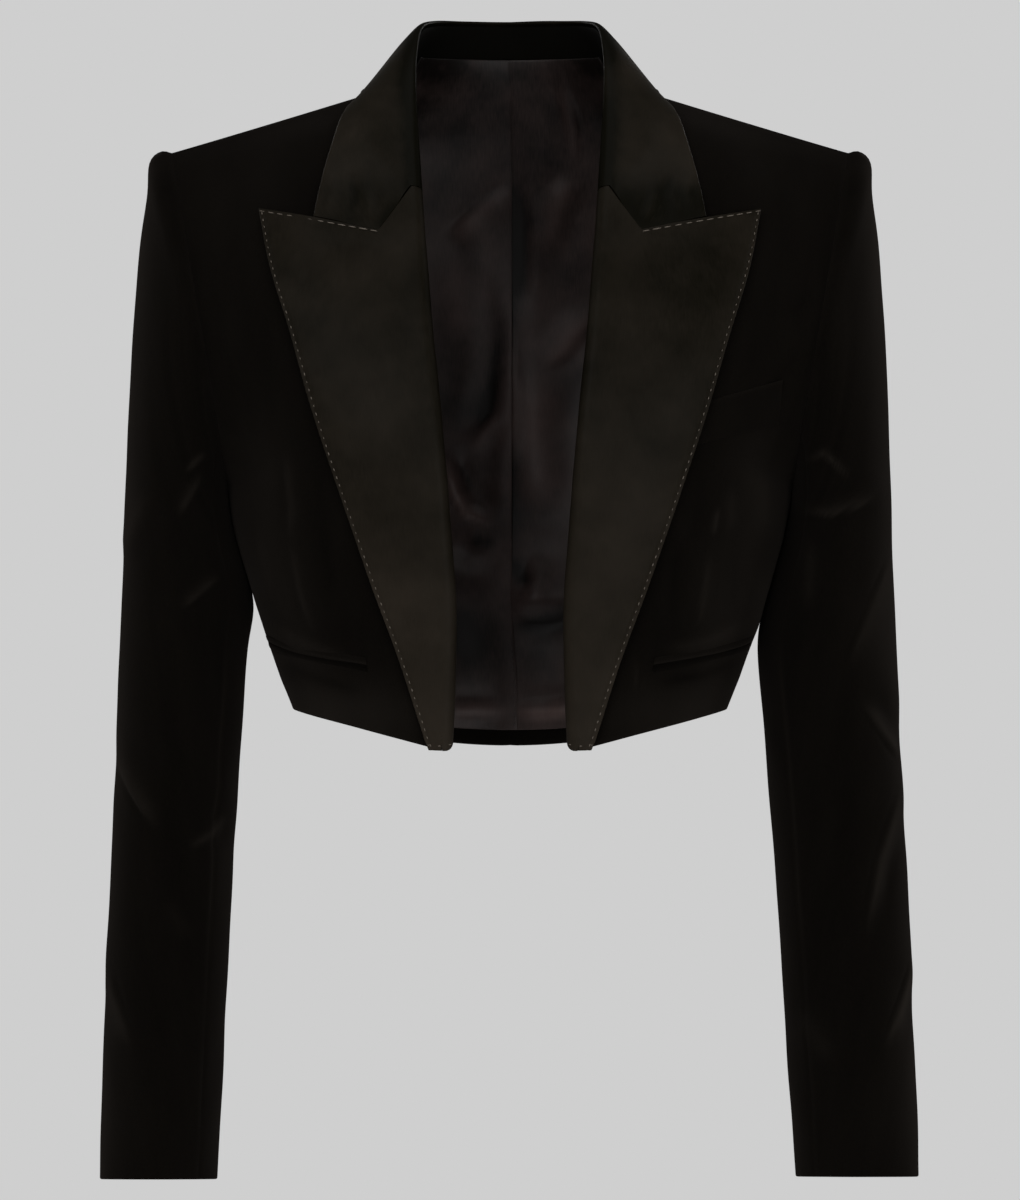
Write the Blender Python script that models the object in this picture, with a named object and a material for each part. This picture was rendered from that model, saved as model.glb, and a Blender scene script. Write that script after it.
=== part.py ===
"""Cropped velvet blazer with satin peak lapels, open at the front and hollow, filled out as if worn.

Tables are in millimetres. The front faces -Y, +Z is up and +X is the wearer's left. The origin lies on the
centre plane, at the level where the collar crosses the shoulders. Fronts and backs are grids of points on
the inside of their cloth, thickened outwards. A sleeve is a grid on the outside of its cloth, thickened
inwards. Neighbouring panels share the points of their seam, so their walls meet in a mitre. What lies on a
panel is made from that panel's own points, moved out.
"""

import math
from collections import namedtuple

import bmesh
import bpy
import numpy as np
from mathutils import Vector
from mathutils.bvhtree import BVHTree

MM = 0.001

CLOTH = 2.0                  # velvet with its interlining
SATIN = 2.2                  # lapel and collar: two layers and canvas
STAND_CLOTH = 2.0
LINING = 1.0
WELT = 1.2
SEAM_GAP = 0.36
FULLNESS = 0.62              # how square a section is: 0.55 would be an ellipse
UNDERARM = 4                 # the section at which the side seam ends and the armhole begins
NECK_SHARE = 0.35            # part of a back section that lies below the neckline

ROPING = 5.5                 # how far the sleeve head stands out round the armhole's top

NECK_BACK_Y = 70.0
NECK_BACK_Z = 26.0

LAPEL_LIFT = 3.0             # space under the lapel, where the breast welt slips in
FACING = 15.0                # how far the lapel's facing turns in behind the front edge
NOTCH = (77.0, -85.5)        # front view, x and z
COLLAR_CORNER = (114.5, -76.0)
GORGE_SHARE = 1 / 3          # part of the lapel's top edge that is sewn to the collar
COLLAR_CLEAR = 0.9
FOLD_COLUMNS = 3             # columns of the fall that make its fold
RIDGE_CLEAR = 1.6            # more where the collar crosses the shoulder seam

POCKET_COLUMNS = (3, 10)     # columns of the front between which the pocket mouth runs
POCKET_LEVELS = (1.07, 1.36)
JET_LEVELS = 0.105           # height of one jet, as a part of a section step
WELT_TOP = ((91.0, -192.0), (161.0, -171.7))
WELT_FOOT = ((89.0, -216.0), (158.8, -197.5))

LINING_COLUMNS = (0, 2, 4, 5, 6, 7, 8, 10, 12, 14, 16)
LINING_RISE = 0.2            # level at which the lining's hem lies
PLEAT_LAP = 4.0

FrontRow = namedtuple("FrontRow", "edge_x edge_y edge_z side_x side_y side_z turn")
BackRow = namedtuple("BackRow", "edge_x edge_y edge_z side_x side_y side_z turn")
SleeveRow = namedtuple("SleeveRow", "z outer_x inner_x mid_y depth")
LapelRow = namedtuple("LapelRow", "roll_z edge_x edge_z")
CollarRow = namedtuple("CollarRow", "fold_x fold_y fold_z edge_x edge_y edge_z out_x out_y")
Fold = namedtuple("Fold", "z turn reach slope width depth")

# Sections of the front from hem to shoulder: front edge, side seam or armhole, and the angle in plan
# at which the cloth arrives there.
FRONT = (
    FrontRow(39.7, -86.0, -389.5, 128.5, 4.0, -366.0, 90),
    FrontRow(38.0, -93.0, -345.0, 139.0, 5.0, -339.0, 90),
    FrontRow(37.7, -100.0, -302.0, 152.0, 6.0, -300.0, 90),
    FrontRow(40.5, -105.0, -262.0, 162.0, 6.0, -266.0, 90),
    FrontRow(43.0, -108.0, -229.0, 167.5, 6.0, -240.0, 88),
    FrontRow(45.2, -108.5, -205.0, 170.5, -22.0, -226.0, 62),
    FrontRow(47.5, -106.5, -180.0, 173.5, -43.0, -203.0, 46),
    FrontRow(51.0, -101.0, -147.0, 178.5, -55.0, -172.0, 36),
    FrontRow(53.8, -92.0, -113.0, 184.0, -55.0, -138.0, 30),
    FrontRow(56.4, -79.0, -82.0, 190.0, -45.0, -104.0, 25),
    FrontRow(58.5, -62.0, -53.0, 196.0, -27.0, -71.0, 20),
    FrontRow(61.5, -30.0, -16.0, 200.5, -8.0, -48.0, 8),
    FrontRow(64.0, 8.0, 7.0, 203.0, 8.0, -35.5, 0),
)

# Sections of the back from hem to below the neckline: centre back, then side seam or armhole.
BACK = (
    BackRow(0.0, 78.0, -389.5, 128.5, 4.0, -366.0, 90),
    BackRow(0.0, 79.0, -345.0, 139.0, 5.0, -339.0, 90),
    BackRow(0.0, 84.0, -300.0, 152.0, 6.0, -300.0, 90),
    BackRow(0.0, 90.0, -262.0, 162.0, 6.0, -266.0, 90),
    BackRow(0.0, 94.0, -232.0, 167.5, 6.0, -240.0, 88),
    BackRow(0.0, 97.0, -205.0, 170.5, 28.0, -226.0, 66),
    BackRow(0.0, 99.0, -178.0, 174.0, 50.0, -203.0, 50),
    BackRow(0.0, 100.5, -145.0, 179.0, 63.0, -172.0, 40),
    BackRow(0.0, 100.5, -112.0, 185.0, 65.0, -138.0, 33),
    BackRow(0.0, 97.5, -78.0, 191.0, 56.0, -104.0, 27),
    BackRow(0.0, 91.5, -44.0, 196.5, 40.0, -71.0, 20),
    BackRow(0.0, 82.5, -8.0, 200.5, 22.0, -48.0, 10),
)

# The sleeve below the armpit: height, outer and inner outline, middle and depth front to back.
LEFT_SLEEVE = (
    SleeveRow(-276.0, 230.0, 161.9, 8.0, 118.0),
    SleeveRow(-304.0, 231.2, 153.6, 10.0, 117.0),
    SleeveRow(-332.0, 232.4, 148.8, 11.0, 114.0),
    SleeveRow(-380.0, 234.4, 152.8, 12.0, 108.0),
    SleeveRow(-428.0, 236.8, 156.6, 10.0, 104.0),
    SleeveRow(-488.0, 239.6, 160.8, 3.0, 98.0),
    SleeveRow(-548.0, 241.4, 164.4, -7.0, 93.0),
    SleeveRow(-608.0, 243.4, 168.0, -18.0, 89.0),
    SleeveRow(-642.5, 244.0, 170.2, -25.0, 87.0),
)
RIGHT_SLEEVE = (
    SleeveRow(-276.0, 232.4, 161.9, 8.0, 118.0),
    SleeveRow(-304.0, 233.6, 155.2, 10.0, 117.0),
    SleeveRow(-332.0, 234.8, 157.8, 11.0, 114.0),
    SleeveRow(-380.0, 236.4, 161.0, 12.0, 108.0),
    SleeveRow(-428.0, 238.6, 164.4, 10.0, 104.0),
    SleeveRow(-488.0, 240.8, 167.4, 3.0, 98.0),
    SleeveRow(-548.0, 243.0, 170.2, -7.0, 93.0),
    SleeveRow(-608.0, 244.4, 172.8, -18.0, 89.0),
    SleeveRow(-644.5, 244.8, 174.4, -25.0, 87.0),
)

# Creases across a sleeve: height, place round it (0 outer, 90 front, 180 inner), half length in degrees,
# rise in millimetres for each degree, half width and depth.
LEFT_FOLDS = (
    Fold(-252.0, 70.0, 70.0, 0.10, 13.0, 2.6),
    Fold(-300.0, 200.0, 60.0, -0.15, 14.0, 2.0),
    Fold(-380.0, 20.0, 60.0, 0.35, 14.0, 2.8),
    Fold(-452.0, 30.0, 65.0, -0.45, 15.0, 3.0),
    Fold(-545.0, 15.0, 55.0, 0.30, 15.0, 2.2),
    Fold(-420.0, 250.0, 60.0, 0.25, 16.0, 2.8),
)
RIGHT_FOLDS = (
    Fold(-232.0, 110.0, 50.0, -0.30, 12.0, 2.4),
    Fold(-296.0, 120.0, 45.0, -0.40, 13.0, 2.4),
    Fold(-405.0, 10.0, 60.0, -0.45, 15.0, 2.8),
    Fold(-440.0, 150.0, 55.0, -0.30, 14.0, 2.8),
    Fold(-545.0, 20.0, 55.0, -0.35, 15.0, 2.2),
    Fold(-415.0, 260.0, 60.0, 0.30, 16.0, 2.8),
)

# The lapel from hem to peak: height of its roll line and its free edge in the front view.
LAPEL = (
    LapelRow(-389.5, 47.2, -389.5),
    LapelRow(-340.0, 63.0, -339.0),
    LapelRow(-290.0, 80.5, -290.0),
    LapelRow(-240.0, 98.0, -239.0),
    LapelRow(-190.0, 113.3, -192.0),
    LapelRow(-145.0, 127.2, -145.0),
    LapelRow(-100.0, 139.3, -106.0),
    LapelRow(-60.0, 146.3, -72.5),
)

# The collar from centre back to gorge: fold line, outer edge, and the direction that faces away from the neck.
COLLAR = (
    CollarRow(0.0, 71.0, 47.0, 0.0, 86.0, 4.0, 0.0, 1.0),
    CollarRow(28.0, 66.0, 47.0, 42.0, 82.0, 3.0, 0.35, 0.94),
    CollarRow(46.0, 50.0, 46.0, 68.0, 56.0, 2.5, 0.75, 0.66),
    CollarRow(54.5, 26.0, 41.5, 83.5, 16.0, 1.0, 1.0, 0.1),
    CollarRow(57.5, 0.0, 28.0, 96.0, -14.0, -8.0, 0.95, -0.3),
    CollarRow(58.5, -26.0, 4.0, 104.0, -36.0, -27.0, 0.8, -0.6),
    CollarRow(57.0, -47.0, -25.0, 109.0, -53.0, -51.0, 0.7, -0.7),
    CollarRow(55.0, -64.0, -54.0, 114.5, -66.0, -76.0, 0.6, -0.8),
)
STAND_END = 6                # collar section at which the stand has run out

BELOW_LEVELS = np.linspace(0, UNDERARM, 9)
ARMHOLE_LEVELS = np.linspace(UNDERARM, len(FRONT) - 1, 13)
LEVELS = np.concatenate([BELOW_LEVELS, ARMHOLE_LEVELS[1:]])
FRONT_SHARES = np.linspace(0, 1, 12)
BACK_SHARES = np.concatenate([
    np.linspace(0, NECK_SHARE, 7),
    NECK_SHARE + (1 - NECK_SHARE) * FRONT_SHARES[1:],
])
CAP_STEPS = (0.0, 0.06, 0.13, 0.22, 0.33, 0.46, 0.6, 0.75, 0.88)
TUBE_ROWS = 14
FRONT_SEAM = 9               # sleeve columns at which the top and under sleeve meet
BACK_SEAM = 18
WRAP_STEPS = 4
LEAF_STEPS = 9
LAPEL_ROWS = 18

VELVET_BLACK = (0.0050, 0.0045, 0.0042)
SATIN_BLACK = (0.0130, 0.0115, 0.0095)
STAND_BLACK = (0.0035, 0.0030, 0.0028)
LINING_PLUM = (0.0150, 0.0110, 0.0105)


def ease(value):
    """Smooth step from 0 to 1."""
    value = np.clip(value, 0, 1)
    return value * value * (3 - 2 * value)


def unit(vectors):
    """Vectors of length one."""
    return vectors / np.maximum(np.linalg.norm(vectors, axis=-1, keepdims=True), 1e-9)


def through_rows(rows, levels):
    """Values on a smooth curve through a table's rows, at fractional row numbers."""
    values = np.array(rows, float)
    shape = values.shape[1:]
    values = values.reshape(len(values), -1)
    slopes = np.gradient(values, axis=0)
    levels = np.atleast_1d(np.asarray(levels, float))
    low = np.clip(np.floor(levels).astype(int), 0, len(values) - 2)
    t = (levels - low)[:, None]
    result = (
        (2 * t**3 - 3 * t**2 + 1) * values[low]
        + (t**3 - 2 * t**2 + t) * slopes[low]
        + (3 * t**2 - 2 * t**3) * values[low + 1]
        + (t**3 - t**2) * slopes[low + 1]
    )
    return result.reshape((len(levels),) + shape)


def at_height(rows, column, height):
    """Row number at which a rising column of a table has a height."""
    heights = [row[column] for row in rows]
    return np.interp(height, heights, np.arange(len(rows)))


def bezier(points, shares):
    """Points of a cubic curve at the given shares."""
    s = np.asarray(shares)[:, None]
    a, b, c, d = points
    return (1 - s)**3 * a + 3 * s * (1 - s)**2 * b + 3 * s**2 * (1 - s) * c + s**3 * d


def section(row, shares, sag):
    """One section of a panel: a rounded line in plan, whose height runs from edge to side."""
    start = np.array([row.edge_x, row.edge_y])
    end = np.array([row.side_x, row.side_y])
    reach = end - start
    angle = math.radians(row.turn)
    arrive = np.array([math.cos(angle), math.copysign(math.sin(angle), reach[1])])
    length = math.hypot(reach[0] * math.cos(angle), reach[1] * math.sin(angle))
    leave = np.array([reach[0], 0.0])
    plan = bezier((start, start + FULLNESS * leave, end - FULLNESS * length * arrive, end), shares)
    across = (plan[:, 0] - start[0]) / reach[0]
    height = row.edge_z + (row.side_z - row.edge_z) * np.clip(across, 0, 1)**sag
    return np.column_stack([plan, height])


def neckline(shares):
    """Back neckline from centre back (0) to the shoulder seam (1)."""
    angle = np.asarray(shares) * math.pi / 2
    end = FRONT[-1]
    x = end.edge_x * np.sin(angle)
    y = end.edge_y + (NECK_BACK_Y - end.edge_y) * np.cos(angle)
    z = end.edge_z + (NECK_BACK_Z - end.edge_z) * np.cos(angle)**1.4
    return np.column_stack([x, y, z])


def front_grid():
    """Inside of the left front, from hem to shoulder and from front edge to side."""
    curves = [section(row, FRONT_SHARES, 1.0) for row in FRONT]
    return through_rows(curves, LEVELS)


def back_grid(front):
    """Inside of the left back, from hem to neckline and shoulder, and from centre back to side."""
    curves = [section(row, BACK_SHARES, 2.0) for row in BACK]
    neck = neckline(BACK_SHARES[:7] / NECK_SHARE)
    curves.append(np.concatenate([neck, front[-1, 1:]]))
    grid = through_rows(curves, LEVELS)
    below = LEVELS <= UNDERARM
    grid[below, -1] = front[below, -1]
    grid[:, 0, 0] = 0.0
    return grid


def fold_depth(folds, turn, height):
    """How far a sleeve's cloth is pressed in at a place round it and a height."""
    depth = 0.0
    for fold in folds:
        away = (turn - fold.turn + 180) % 360 - 180
        line = fold.z + fold.slope * away
        along = ease(1 - abs(away) / fold.reach)
        off = (height - line) / fold.width
        ridge = 0.55 * math.exp(-(off - 1.5)**2)
        depth += fold.depth * along * (math.exp(-off * off) - ridge)
    return depth * (0.2 + 0.8 * abs(math.sin(math.radians(turn))))


def armhole(front, back):
    """Ring of the armhole, from the shoulder down the front and up the back."""
    top = len(BELOW_LEVELS) - 1
    return np.concatenate([front[top:, -1][::-1], back[top + 1:-1, -1]])


def sleeve_grid(ring, table, folds):
    """Outside of a sleeve, from armhole to cuff; its columns run from the shoulder round by the front."""
    count = len(ring)
    turns = 2 * math.pi * np.arange(count) / count
    tube = []
    for values in through_rows(table, np.linspace(0, len(table) - 1, TUBE_ROWS)):
        row = SleeveRow(*values)
        x = (row.outer_x + row.inner_x) / 2 + (row.outer_x - row.inner_x) / 2 * np.cos(turns)
        y = row.mid_y - row.depth / 2 * np.sin(turns)
        tube.append(np.column_stack([x, y, np.full(count, row.z)]))
    tube = np.array(tube)
    high = (1 + np.cos(turns)) / 2
    low = 1 - high
    side = np.sin(turns)
    leave = np.column_stack([
        high + 0.25 * low,
        -0.45 * side,
        0.14 * high - 0.75 * low - 0.25 * np.abs(side),
    ])
    leave *= (72 * high + 28 * low)[:, None]
    arrive = unit(tube[1] - tube[0]) * np.linalg.norm(tube[0] - ring, axis=1)[:, None]
    cap = []
    for t in CAP_STEPS:
        cap.append(
            (2 * t**3 - 3 * t**2 + 1) * ring + (t**3 - 2 * t**2 + t) * leave
            + (3 * t**2 - 2 * t**3) * tube[0] + (t**3 - t**2) * arrive
        )
    grid = np.concatenate([np.array(cap), tube])
    closed = np.concatenate([grid, grid[:, :1]], axis=1)
    normals = sleeve_normals(closed)
    settle = ease((np.arange(len(grid)) - 2) / 4)
    steps = np.array(CAP_STEPS + (1.0,) * TUBE_ROWS)
    roping = ROPING * np.exp(-((steps - 0.13) / 0.09)**2) * ease(steps / 0.06)
    for i in range(len(grid)):
        for j in range(count):
            press = fold_depth(folds, 360 * j / count, grid[i, j, 2]) * settle[i]
            press -= roping[i] * high[j]**3
            closed[i, j] -= normals[i, j] * press
    closed[:, -1] = closed[:, 0]
    return closed


def sleeve_inside(outer, ring):
    """Inside of a sleeve's cloth, which starts at the inside of the armhole."""
    inside = outer - sleeve_normals(outer) * CLOTH
    inside[0] = np.concatenate([ring, ring[:1]])
    return inside


def grid_normals(grid):
    """Unit normals of a left-hand panel's grid, facing out of the garment."""
    return unit(np.cross(np.gradient(grid, axis=1), np.gradient(grid, axis=0)))


def sleeve_normals(grid):
    """Unit normals of a sleeve, whose last column repeats the first."""
    ringed = np.concatenate([grid[:, -2:-1], grid, grid[:, 1:2]], axis=1)
    return grid_normals(ringed)[:, 1:-1]


def seam_key(point):
    """Name of a place, the same for points that a seam joins."""
    return tuple(np.round(point, 2) + 0.0)


def thickened(grids, normals, thickness):
    """Outer faces of several panels, mitred where their grids share points."""
    total = {}
    for grid, normal in zip(grids, normals):
        for point, direction in zip(grid.reshape(-1, 3), normal.reshape(-1, 3)):
            key = seam_key(point)
            total[key] = total.get(key, 0) + direction
    outers = []
    for grid, normal in zip(grids, normals):
        outer = grid.copy()
        for index in np.ndindex(grid.shape[:2]):
            mean = unit(total[seam_key(grid[index])])
            stretch = 1 / max(float(mean @ normal[index]), 0.7)
            outer[index] += mean * thickness * stretch
        outers.append(outer)
    return outers


def drawn_back(grid, edges, distance):
    """A grid whose named edges are moved in by a distance."""
    moved = grid.copy()
    if "first_row" in edges:
        moved[0] += unit(grid[1] - grid[0]) * distance
    if "last_row" in edges:
        moved[-1] += unit(grid[-2] - grid[-1]) * distance
    if "first_column" in edges:
        moved[:, 0] += unit(grid[:, 1] - grid[:, 0]) * distance
    if "last_column" in edges:
        moved[:, -1] += unit(grid[:, -2] - grid[:, -1]) * distance
    return moved


def on_grid(grid, row, column):
    """Point between the points of a grid."""
    i = min(int(row), grid.shape[0] - 2)
    j = min(int(column), grid.shape[1] - 2)
    a = row - i
    b = column - j
    low = grid[i, j] * (1 - b) + grid[i, j + 1] * b
    high = grid[i + 1, j] * (1 - b) + grid[i + 1, j + 1] * b
    return low * (1 - a) + high * a


def tree_of(grids):
    """Surface of several grids, for finding the cloth below a point."""
    points = []
    faces = []
    for grid in grids:
        rows, columns = grid.shape[:2]
        start = len(points)
        points.extend(Vector(point) for point in grid.reshape(-1, 3))
        for i in range(rows - 1):
            for j in range(columns - 1):
                a = start + i * columns + j
                faces.append((a, a + 1, a + columns + 1, a + columns))
    return BVHTree.FromPolygons(points, faces)


def on_front(tree, x, z):
    """Point of the front's outer face at a place of the front view, or level with it below the hem."""
    hem = FRONT[0]
    slope = (hem.side_z - hem.edge_z) / (hem.side_x - hem.edge_x)
    lowest = hem.edge_z + slope * (x - hem.edge_x) + 0.8
    place, _, _, _ = tree.ray_cast(Vector((x, -400.0, max(z, lowest))), Vector((0, 1, 0)))
    return np.array([x, place.y, z])


def clear_of(tree, point, away, clearance):
    """A point moved off the cloth so that it keeps a clearance on the side that faces away."""
    place, normal, _, _ = tree.find_nearest(Vector(point))
    normal = np.array(normal)
    if normal @ away < 0:
        normal = -normal
    height = float((point - np.array(place)) @ normal)
    return point + normal * max(clearance - height, 0.0)


def lapel_outline(level, share):
    """Place of a lapel point in the front view: share 0 is the roll line and 1 the free edge."""
    row = LapelRow(*through_rows(LAPEL, level)[0])
    front_level = at_height(FRONT, 2, row.roll_z)
    roll = np.array([through_rows(FRONT, front_level)[0, 0], row.roll_z])
    edge = np.array([row.edge_x, row.edge_z])
    place = roll + (edge - roll) * share
    top = LAPEL[-1]
    top_roll = np.array([through_rows(FRONT, at_height(FRONT, 2, top.roll_z))[0, 0], top.roll_z])
    peak = np.array([top.edge_x, top.edge_z])
    notch = np.array(NOTCH)
    if share < GORGE_SHARE:
        cut = top_roll + (notch - top_roll) * share / GORGE_SHARE
    else:
        cut = notch + (peak - notch) * (share - GORGE_SHARE) / (1 - GORGE_SHARE)
    dip = cut - (top_roll + (peak - top_roll) * share)
    return place + dip * ease((level - 4.2) / (len(LAPEL) - 1 - 4.2))


def lapel_grids(tree, inside_tree):
    """Under and upper face of the left lapel: facing, turn round the front edge, and leaf."""
    turned = []
    turned_out = []
    leaves = []
    for level in np.linspace(0, len(LAPEL) - 1, LAPEL_ROWS):
        outline = [lapel_outline(level, share) for share in np.linspace(0, 1, LEAF_STEPS + 1)]
        x, z = outline[0]
        edge = on_front(tree, x + 0.6, z)
        across = unit(on_front(tree, x + 8.0, z) - edge)
        rise = on_front(tree, x + 0.6, min(z + 4.0, -52.0)) - on_front(tree, x + 0.6, z - 6.0)
        out = unit(np.cross(across, rise))
        radius = CLOTH / 2 + LAPEL_LIFT
        middle = edge - across * 0.6 - out * CLOTH / 2
        row = []
        row_out = []
        for inset, gap in ((FACING, 0.5), (FACING / 2, LAPEL_LIFT * 0.6)):
            place, _, _, _ = inside_tree.find_nearest(Vector(middle + across * inset - out * CLOTH))
            row.append(np.array(place) - out * gap)
            row_out.append(-out)
        for k in range(WRAP_STEPS + 1):
            angle = math.pi * (1 - k / WRAP_STEPS)
            direction = out * math.cos(angle) - across * math.sin(angle)
            row.append(middle + direction * radius)
            row_out.append(direction)
        turned.append(row)
        turned_out.append(row_out)
        leaves.append([edge] + [on_front(tree, max(a, x + 0.6), b) for a, b in outline[1:]])
    leaves = np.array(leaves)
    leaf_out = grid_normals(leaves)[:, 1:]
    under = np.concatenate([np.array(turned), leaves[:, 1:] + leaf_out * LAPEL_LIFT], axis=1)
    out = np.concatenate([np.array(turned_out), leaf_out], axis=1)
    return under, under + out * SATIN


def collar_end(front_tree, lapel_top):
    """Front end of the fall: beside the lapel's roll and gorge seam, then free from notch to corner."""
    turned = 2 + WRAP_STEPS // 2
    notch = 2 + WRAP_STEPS + round(GORGE_SHARE * LEAF_STEPS)
    sewn = lapel_top[turned:notch + 1]
    along = np.gradient(sewn, axis=0)
    beside = unit(np.cross(np.array([0.25, -1.0, 0.35]), along))
    beside[:2] = (0.0, 0.0, 1.0)
    rows = list(sewn + beside * 0.5)
    for share in (1 / 3, 2 / 3, 1.0):
        x, z = np.array(NOTCH) + (np.array(COLLAR_CORNER) - np.array(NOTCH)) * share
        rows.append(on_front(front_tree, x, z + 0.8) + np.array([0.15, -0.9, 0.25]) * LAPEL_LIFT)
    return np.array(rows)


def collar_grids(tree, front_tree, lapel_top):
    """Under and upper face of the collar's fall, from the right notch round to the left one."""
    last = len(COLLAR) - 1
    end = collar_end(front_tree, lapel_top)
    shares = np.linspace(0, 1, len(end))
    half = []
    for level in np.linspace(0, last, 3 * last + 1):
        row = CollarRow(*through_rows(COLLAR, level)[0])
        out = unit(np.array([row.out_x, row.out_y, 0.0]))
        up = np.array([0.0, 0.0, 1.0])
        fold = np.array([row.fold_x, row.fold_y, row.fold_z])
        ahead = through_rows(COLLAR, min(level + 0.1, last))[0, :3]
        behind = through_rows(COLLAR, max(level - 0.1, 0.0))[0, :3]
        along = unit(ahead - behind)
        fold += unit(up - along * (up @ along)) * 0.8 - out
        edge = np.array([row.edge_x, row.edge_y, row.edge_z])
        edge = clear_of(tree, edge, out + up, COLLAR_CLEAR)
        arc = bezier((fold, fold + out * 3.5 + up * 1.2, edge + (fold - edge) * 0.35, edge), shares)
        blend = ease((level - 4.5) / (last - 4.5))
        arc = arc * (1 - blend) + end * blend
        clear = COLLAR_CLEAR + (LAPEL_LIFT - COLLAR_CLEAR) * blend
        clear += RIDGE_CLEAR * math.exp(-((level - 3.3) / 0.7)**2)
        arc[FOLD_COLUMNS:] = [clear_of(tree, point, out + up, clear) for point in arc[FOLD_COLUMNS:]]
        half.append(arc)
    half = np.array(half)
    mirrored = half[:0:-1] * np.array([-1.0, 1.0, 1.0])
    under = np.concatenate([mirrored, half])
    upper = under + grid_normals(under[:, ::-1])[:, ::-1] * SATIN
    return under, upper


def stand_grids(front_outer, back_outer):
    """Outer and inner face of the collar stand, from neckline to fold line."""
    neck_columns = 7
    back_neck = back_outer[-1, :neck_columns]
    back_below = back_outer[-2, :neck_columns]
    front_neck = front_outer[::-1, 0][1:4]
    front_below = front_outer[::-1, 1][1:4]
    foot = np.concatenate([back_neck, front_neck])
    below = np.concatenate([back_below, front_below])
    foot = foot + unit(foot - below) * 0.5
    lengths = np.concatenate([[0], np.cumsum(np.linalg.norm(np.diff(foot, axis=0), axis=1))])
    levels = np.linspace(0, STAND_END, 3 * STAND_END + 1)
    marks = levels / (len(COLLAR) - 1) * lengths[-1]
    foot = np.column_stack([np.interp(marks, lengths, foot[:, k]) for k in range(3)])
    fold = through_rows(COLLAR, levels)[:, :3]
    top = fold - unit(fold - foot) * 1.0
    half = np.array([foot + (top - foot) * share for share in (0, 0.33, 0.67, 1)]).transpose(1, 0, 2)
    mirrored = half[:0:-1] * np.array([-1.0, 1.0, 1.0])
    outer = np.concatenate([mirrored, half])
    normals = grid_normals(outer)
    away = outer - np.array([0.0, 10.0, 0.0])
    away[:, :, 2] = 0.0
    facing = np.sign(np.sum(normals * away, axis=-1, keepdims=True))
    return outer, outer - normals * facing * STAND_CLOTH


def panel_patch(tree, top, foot, columns, rows):
    """Grid on the front's outer face between a top and a foot line of the front view."""
    grid = []
    for a in np.linspace(0, 1, rows):
        start = np.array(foot[0]) * (1 - a) + np.array(top[0]) * a
        end = np.array(foot[1]) * (1 - a) + np.array(top[1]) * a
        grid.append([on_front(tree, *(start + (end - start) * b)) for b in np.linspace(0, 1, columns)])
    return np.array(grid)


def jet_patch(outer, low, high):
    """Grid on the front's outer face along the pocket mouth, between two level offsets."""
    grid = []
    for offset in (low, high):
        row = []
        for column in range(POCKET_COLUMNS[0], POCKET_COLUMNS[1] + 1):
            level = np.interp(column, POCKET_COLUMNS, POCKET_LEVELS) + offset
            place = np.interp(level, LEVELS, np.arange(len(LEVELS)))
            row.append(on_grid(outer, place, column))
        grid.append(row)
    return np.array(grid)


def laid_on(grid, gap, thickness):
    """Under and upper face of a strip laid on the grid it was read from."""
    normals = grid_normals(grid)
    return grid + normals * gap, grid + normals * (gap + thickness)


def lining_grids(back, side):
    """Outer and inner face of one half of the back lining, with its half of the pleat."""
    levels = np.concatenate([[LINING_RISE], LEVELS[1:-1], [len(FRONT) - 1.15]])
    normals = -grid_normals(back)
    outer = []
    for level in levels:
        place = np.interp(level, LEVELS, np.arange(len(LEVELS)))
        row = []
        for k, column in enumerate(LINING_COLUMNS):
            point = on_grid(back, place, column)
            normal = unit(on_grid(normals, place, column))
            middle = math.sin(math.pi * k / (len(LINING_COLUMNS) - 1))**2
            wave = 1.2 * math.sin(level * 1.3 + column * 0.5) * middle
            ridge = 2.4 * math.exp(-((column - 3.0 - 0.16 * level) / 1.1)**2) * ease((10 - level) / 4)
            sink = 1.9 + wave + ridge
            if side > 0:
                sink += 0.3
            elif k < 2:
                sink += LINING + 1.2
            row.append(point - normal * sink)
        row = np.array(row)
        if side < 0:
            row[0] += np.array([-PLEAT_LAP, -1.4, 0.0])
        else:
            row[0] += np.array([0.4, 0.0, 0.0])
        outer.append(row)
    outer = np.array(outer)
    return outer, outer + grid_normals(outer) * LINING


def cloth_material(name, colour, roughness):
    """Material of one piece of cloth."""
    material = bpy.data.materials.new(name)
    material.use_nodes = True
    shader = material.node_tree.nodes["Principled BSDF"]
    shader.inputs["Base Color"].default_value = (*colour, 1.0)
    shader.inputs["Roughness"].default_value = roughness
    shader.inputs["Metallic"].default_value = 0.0
    material.diffuse_color = (*colour, 1.0)
    return material


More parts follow.
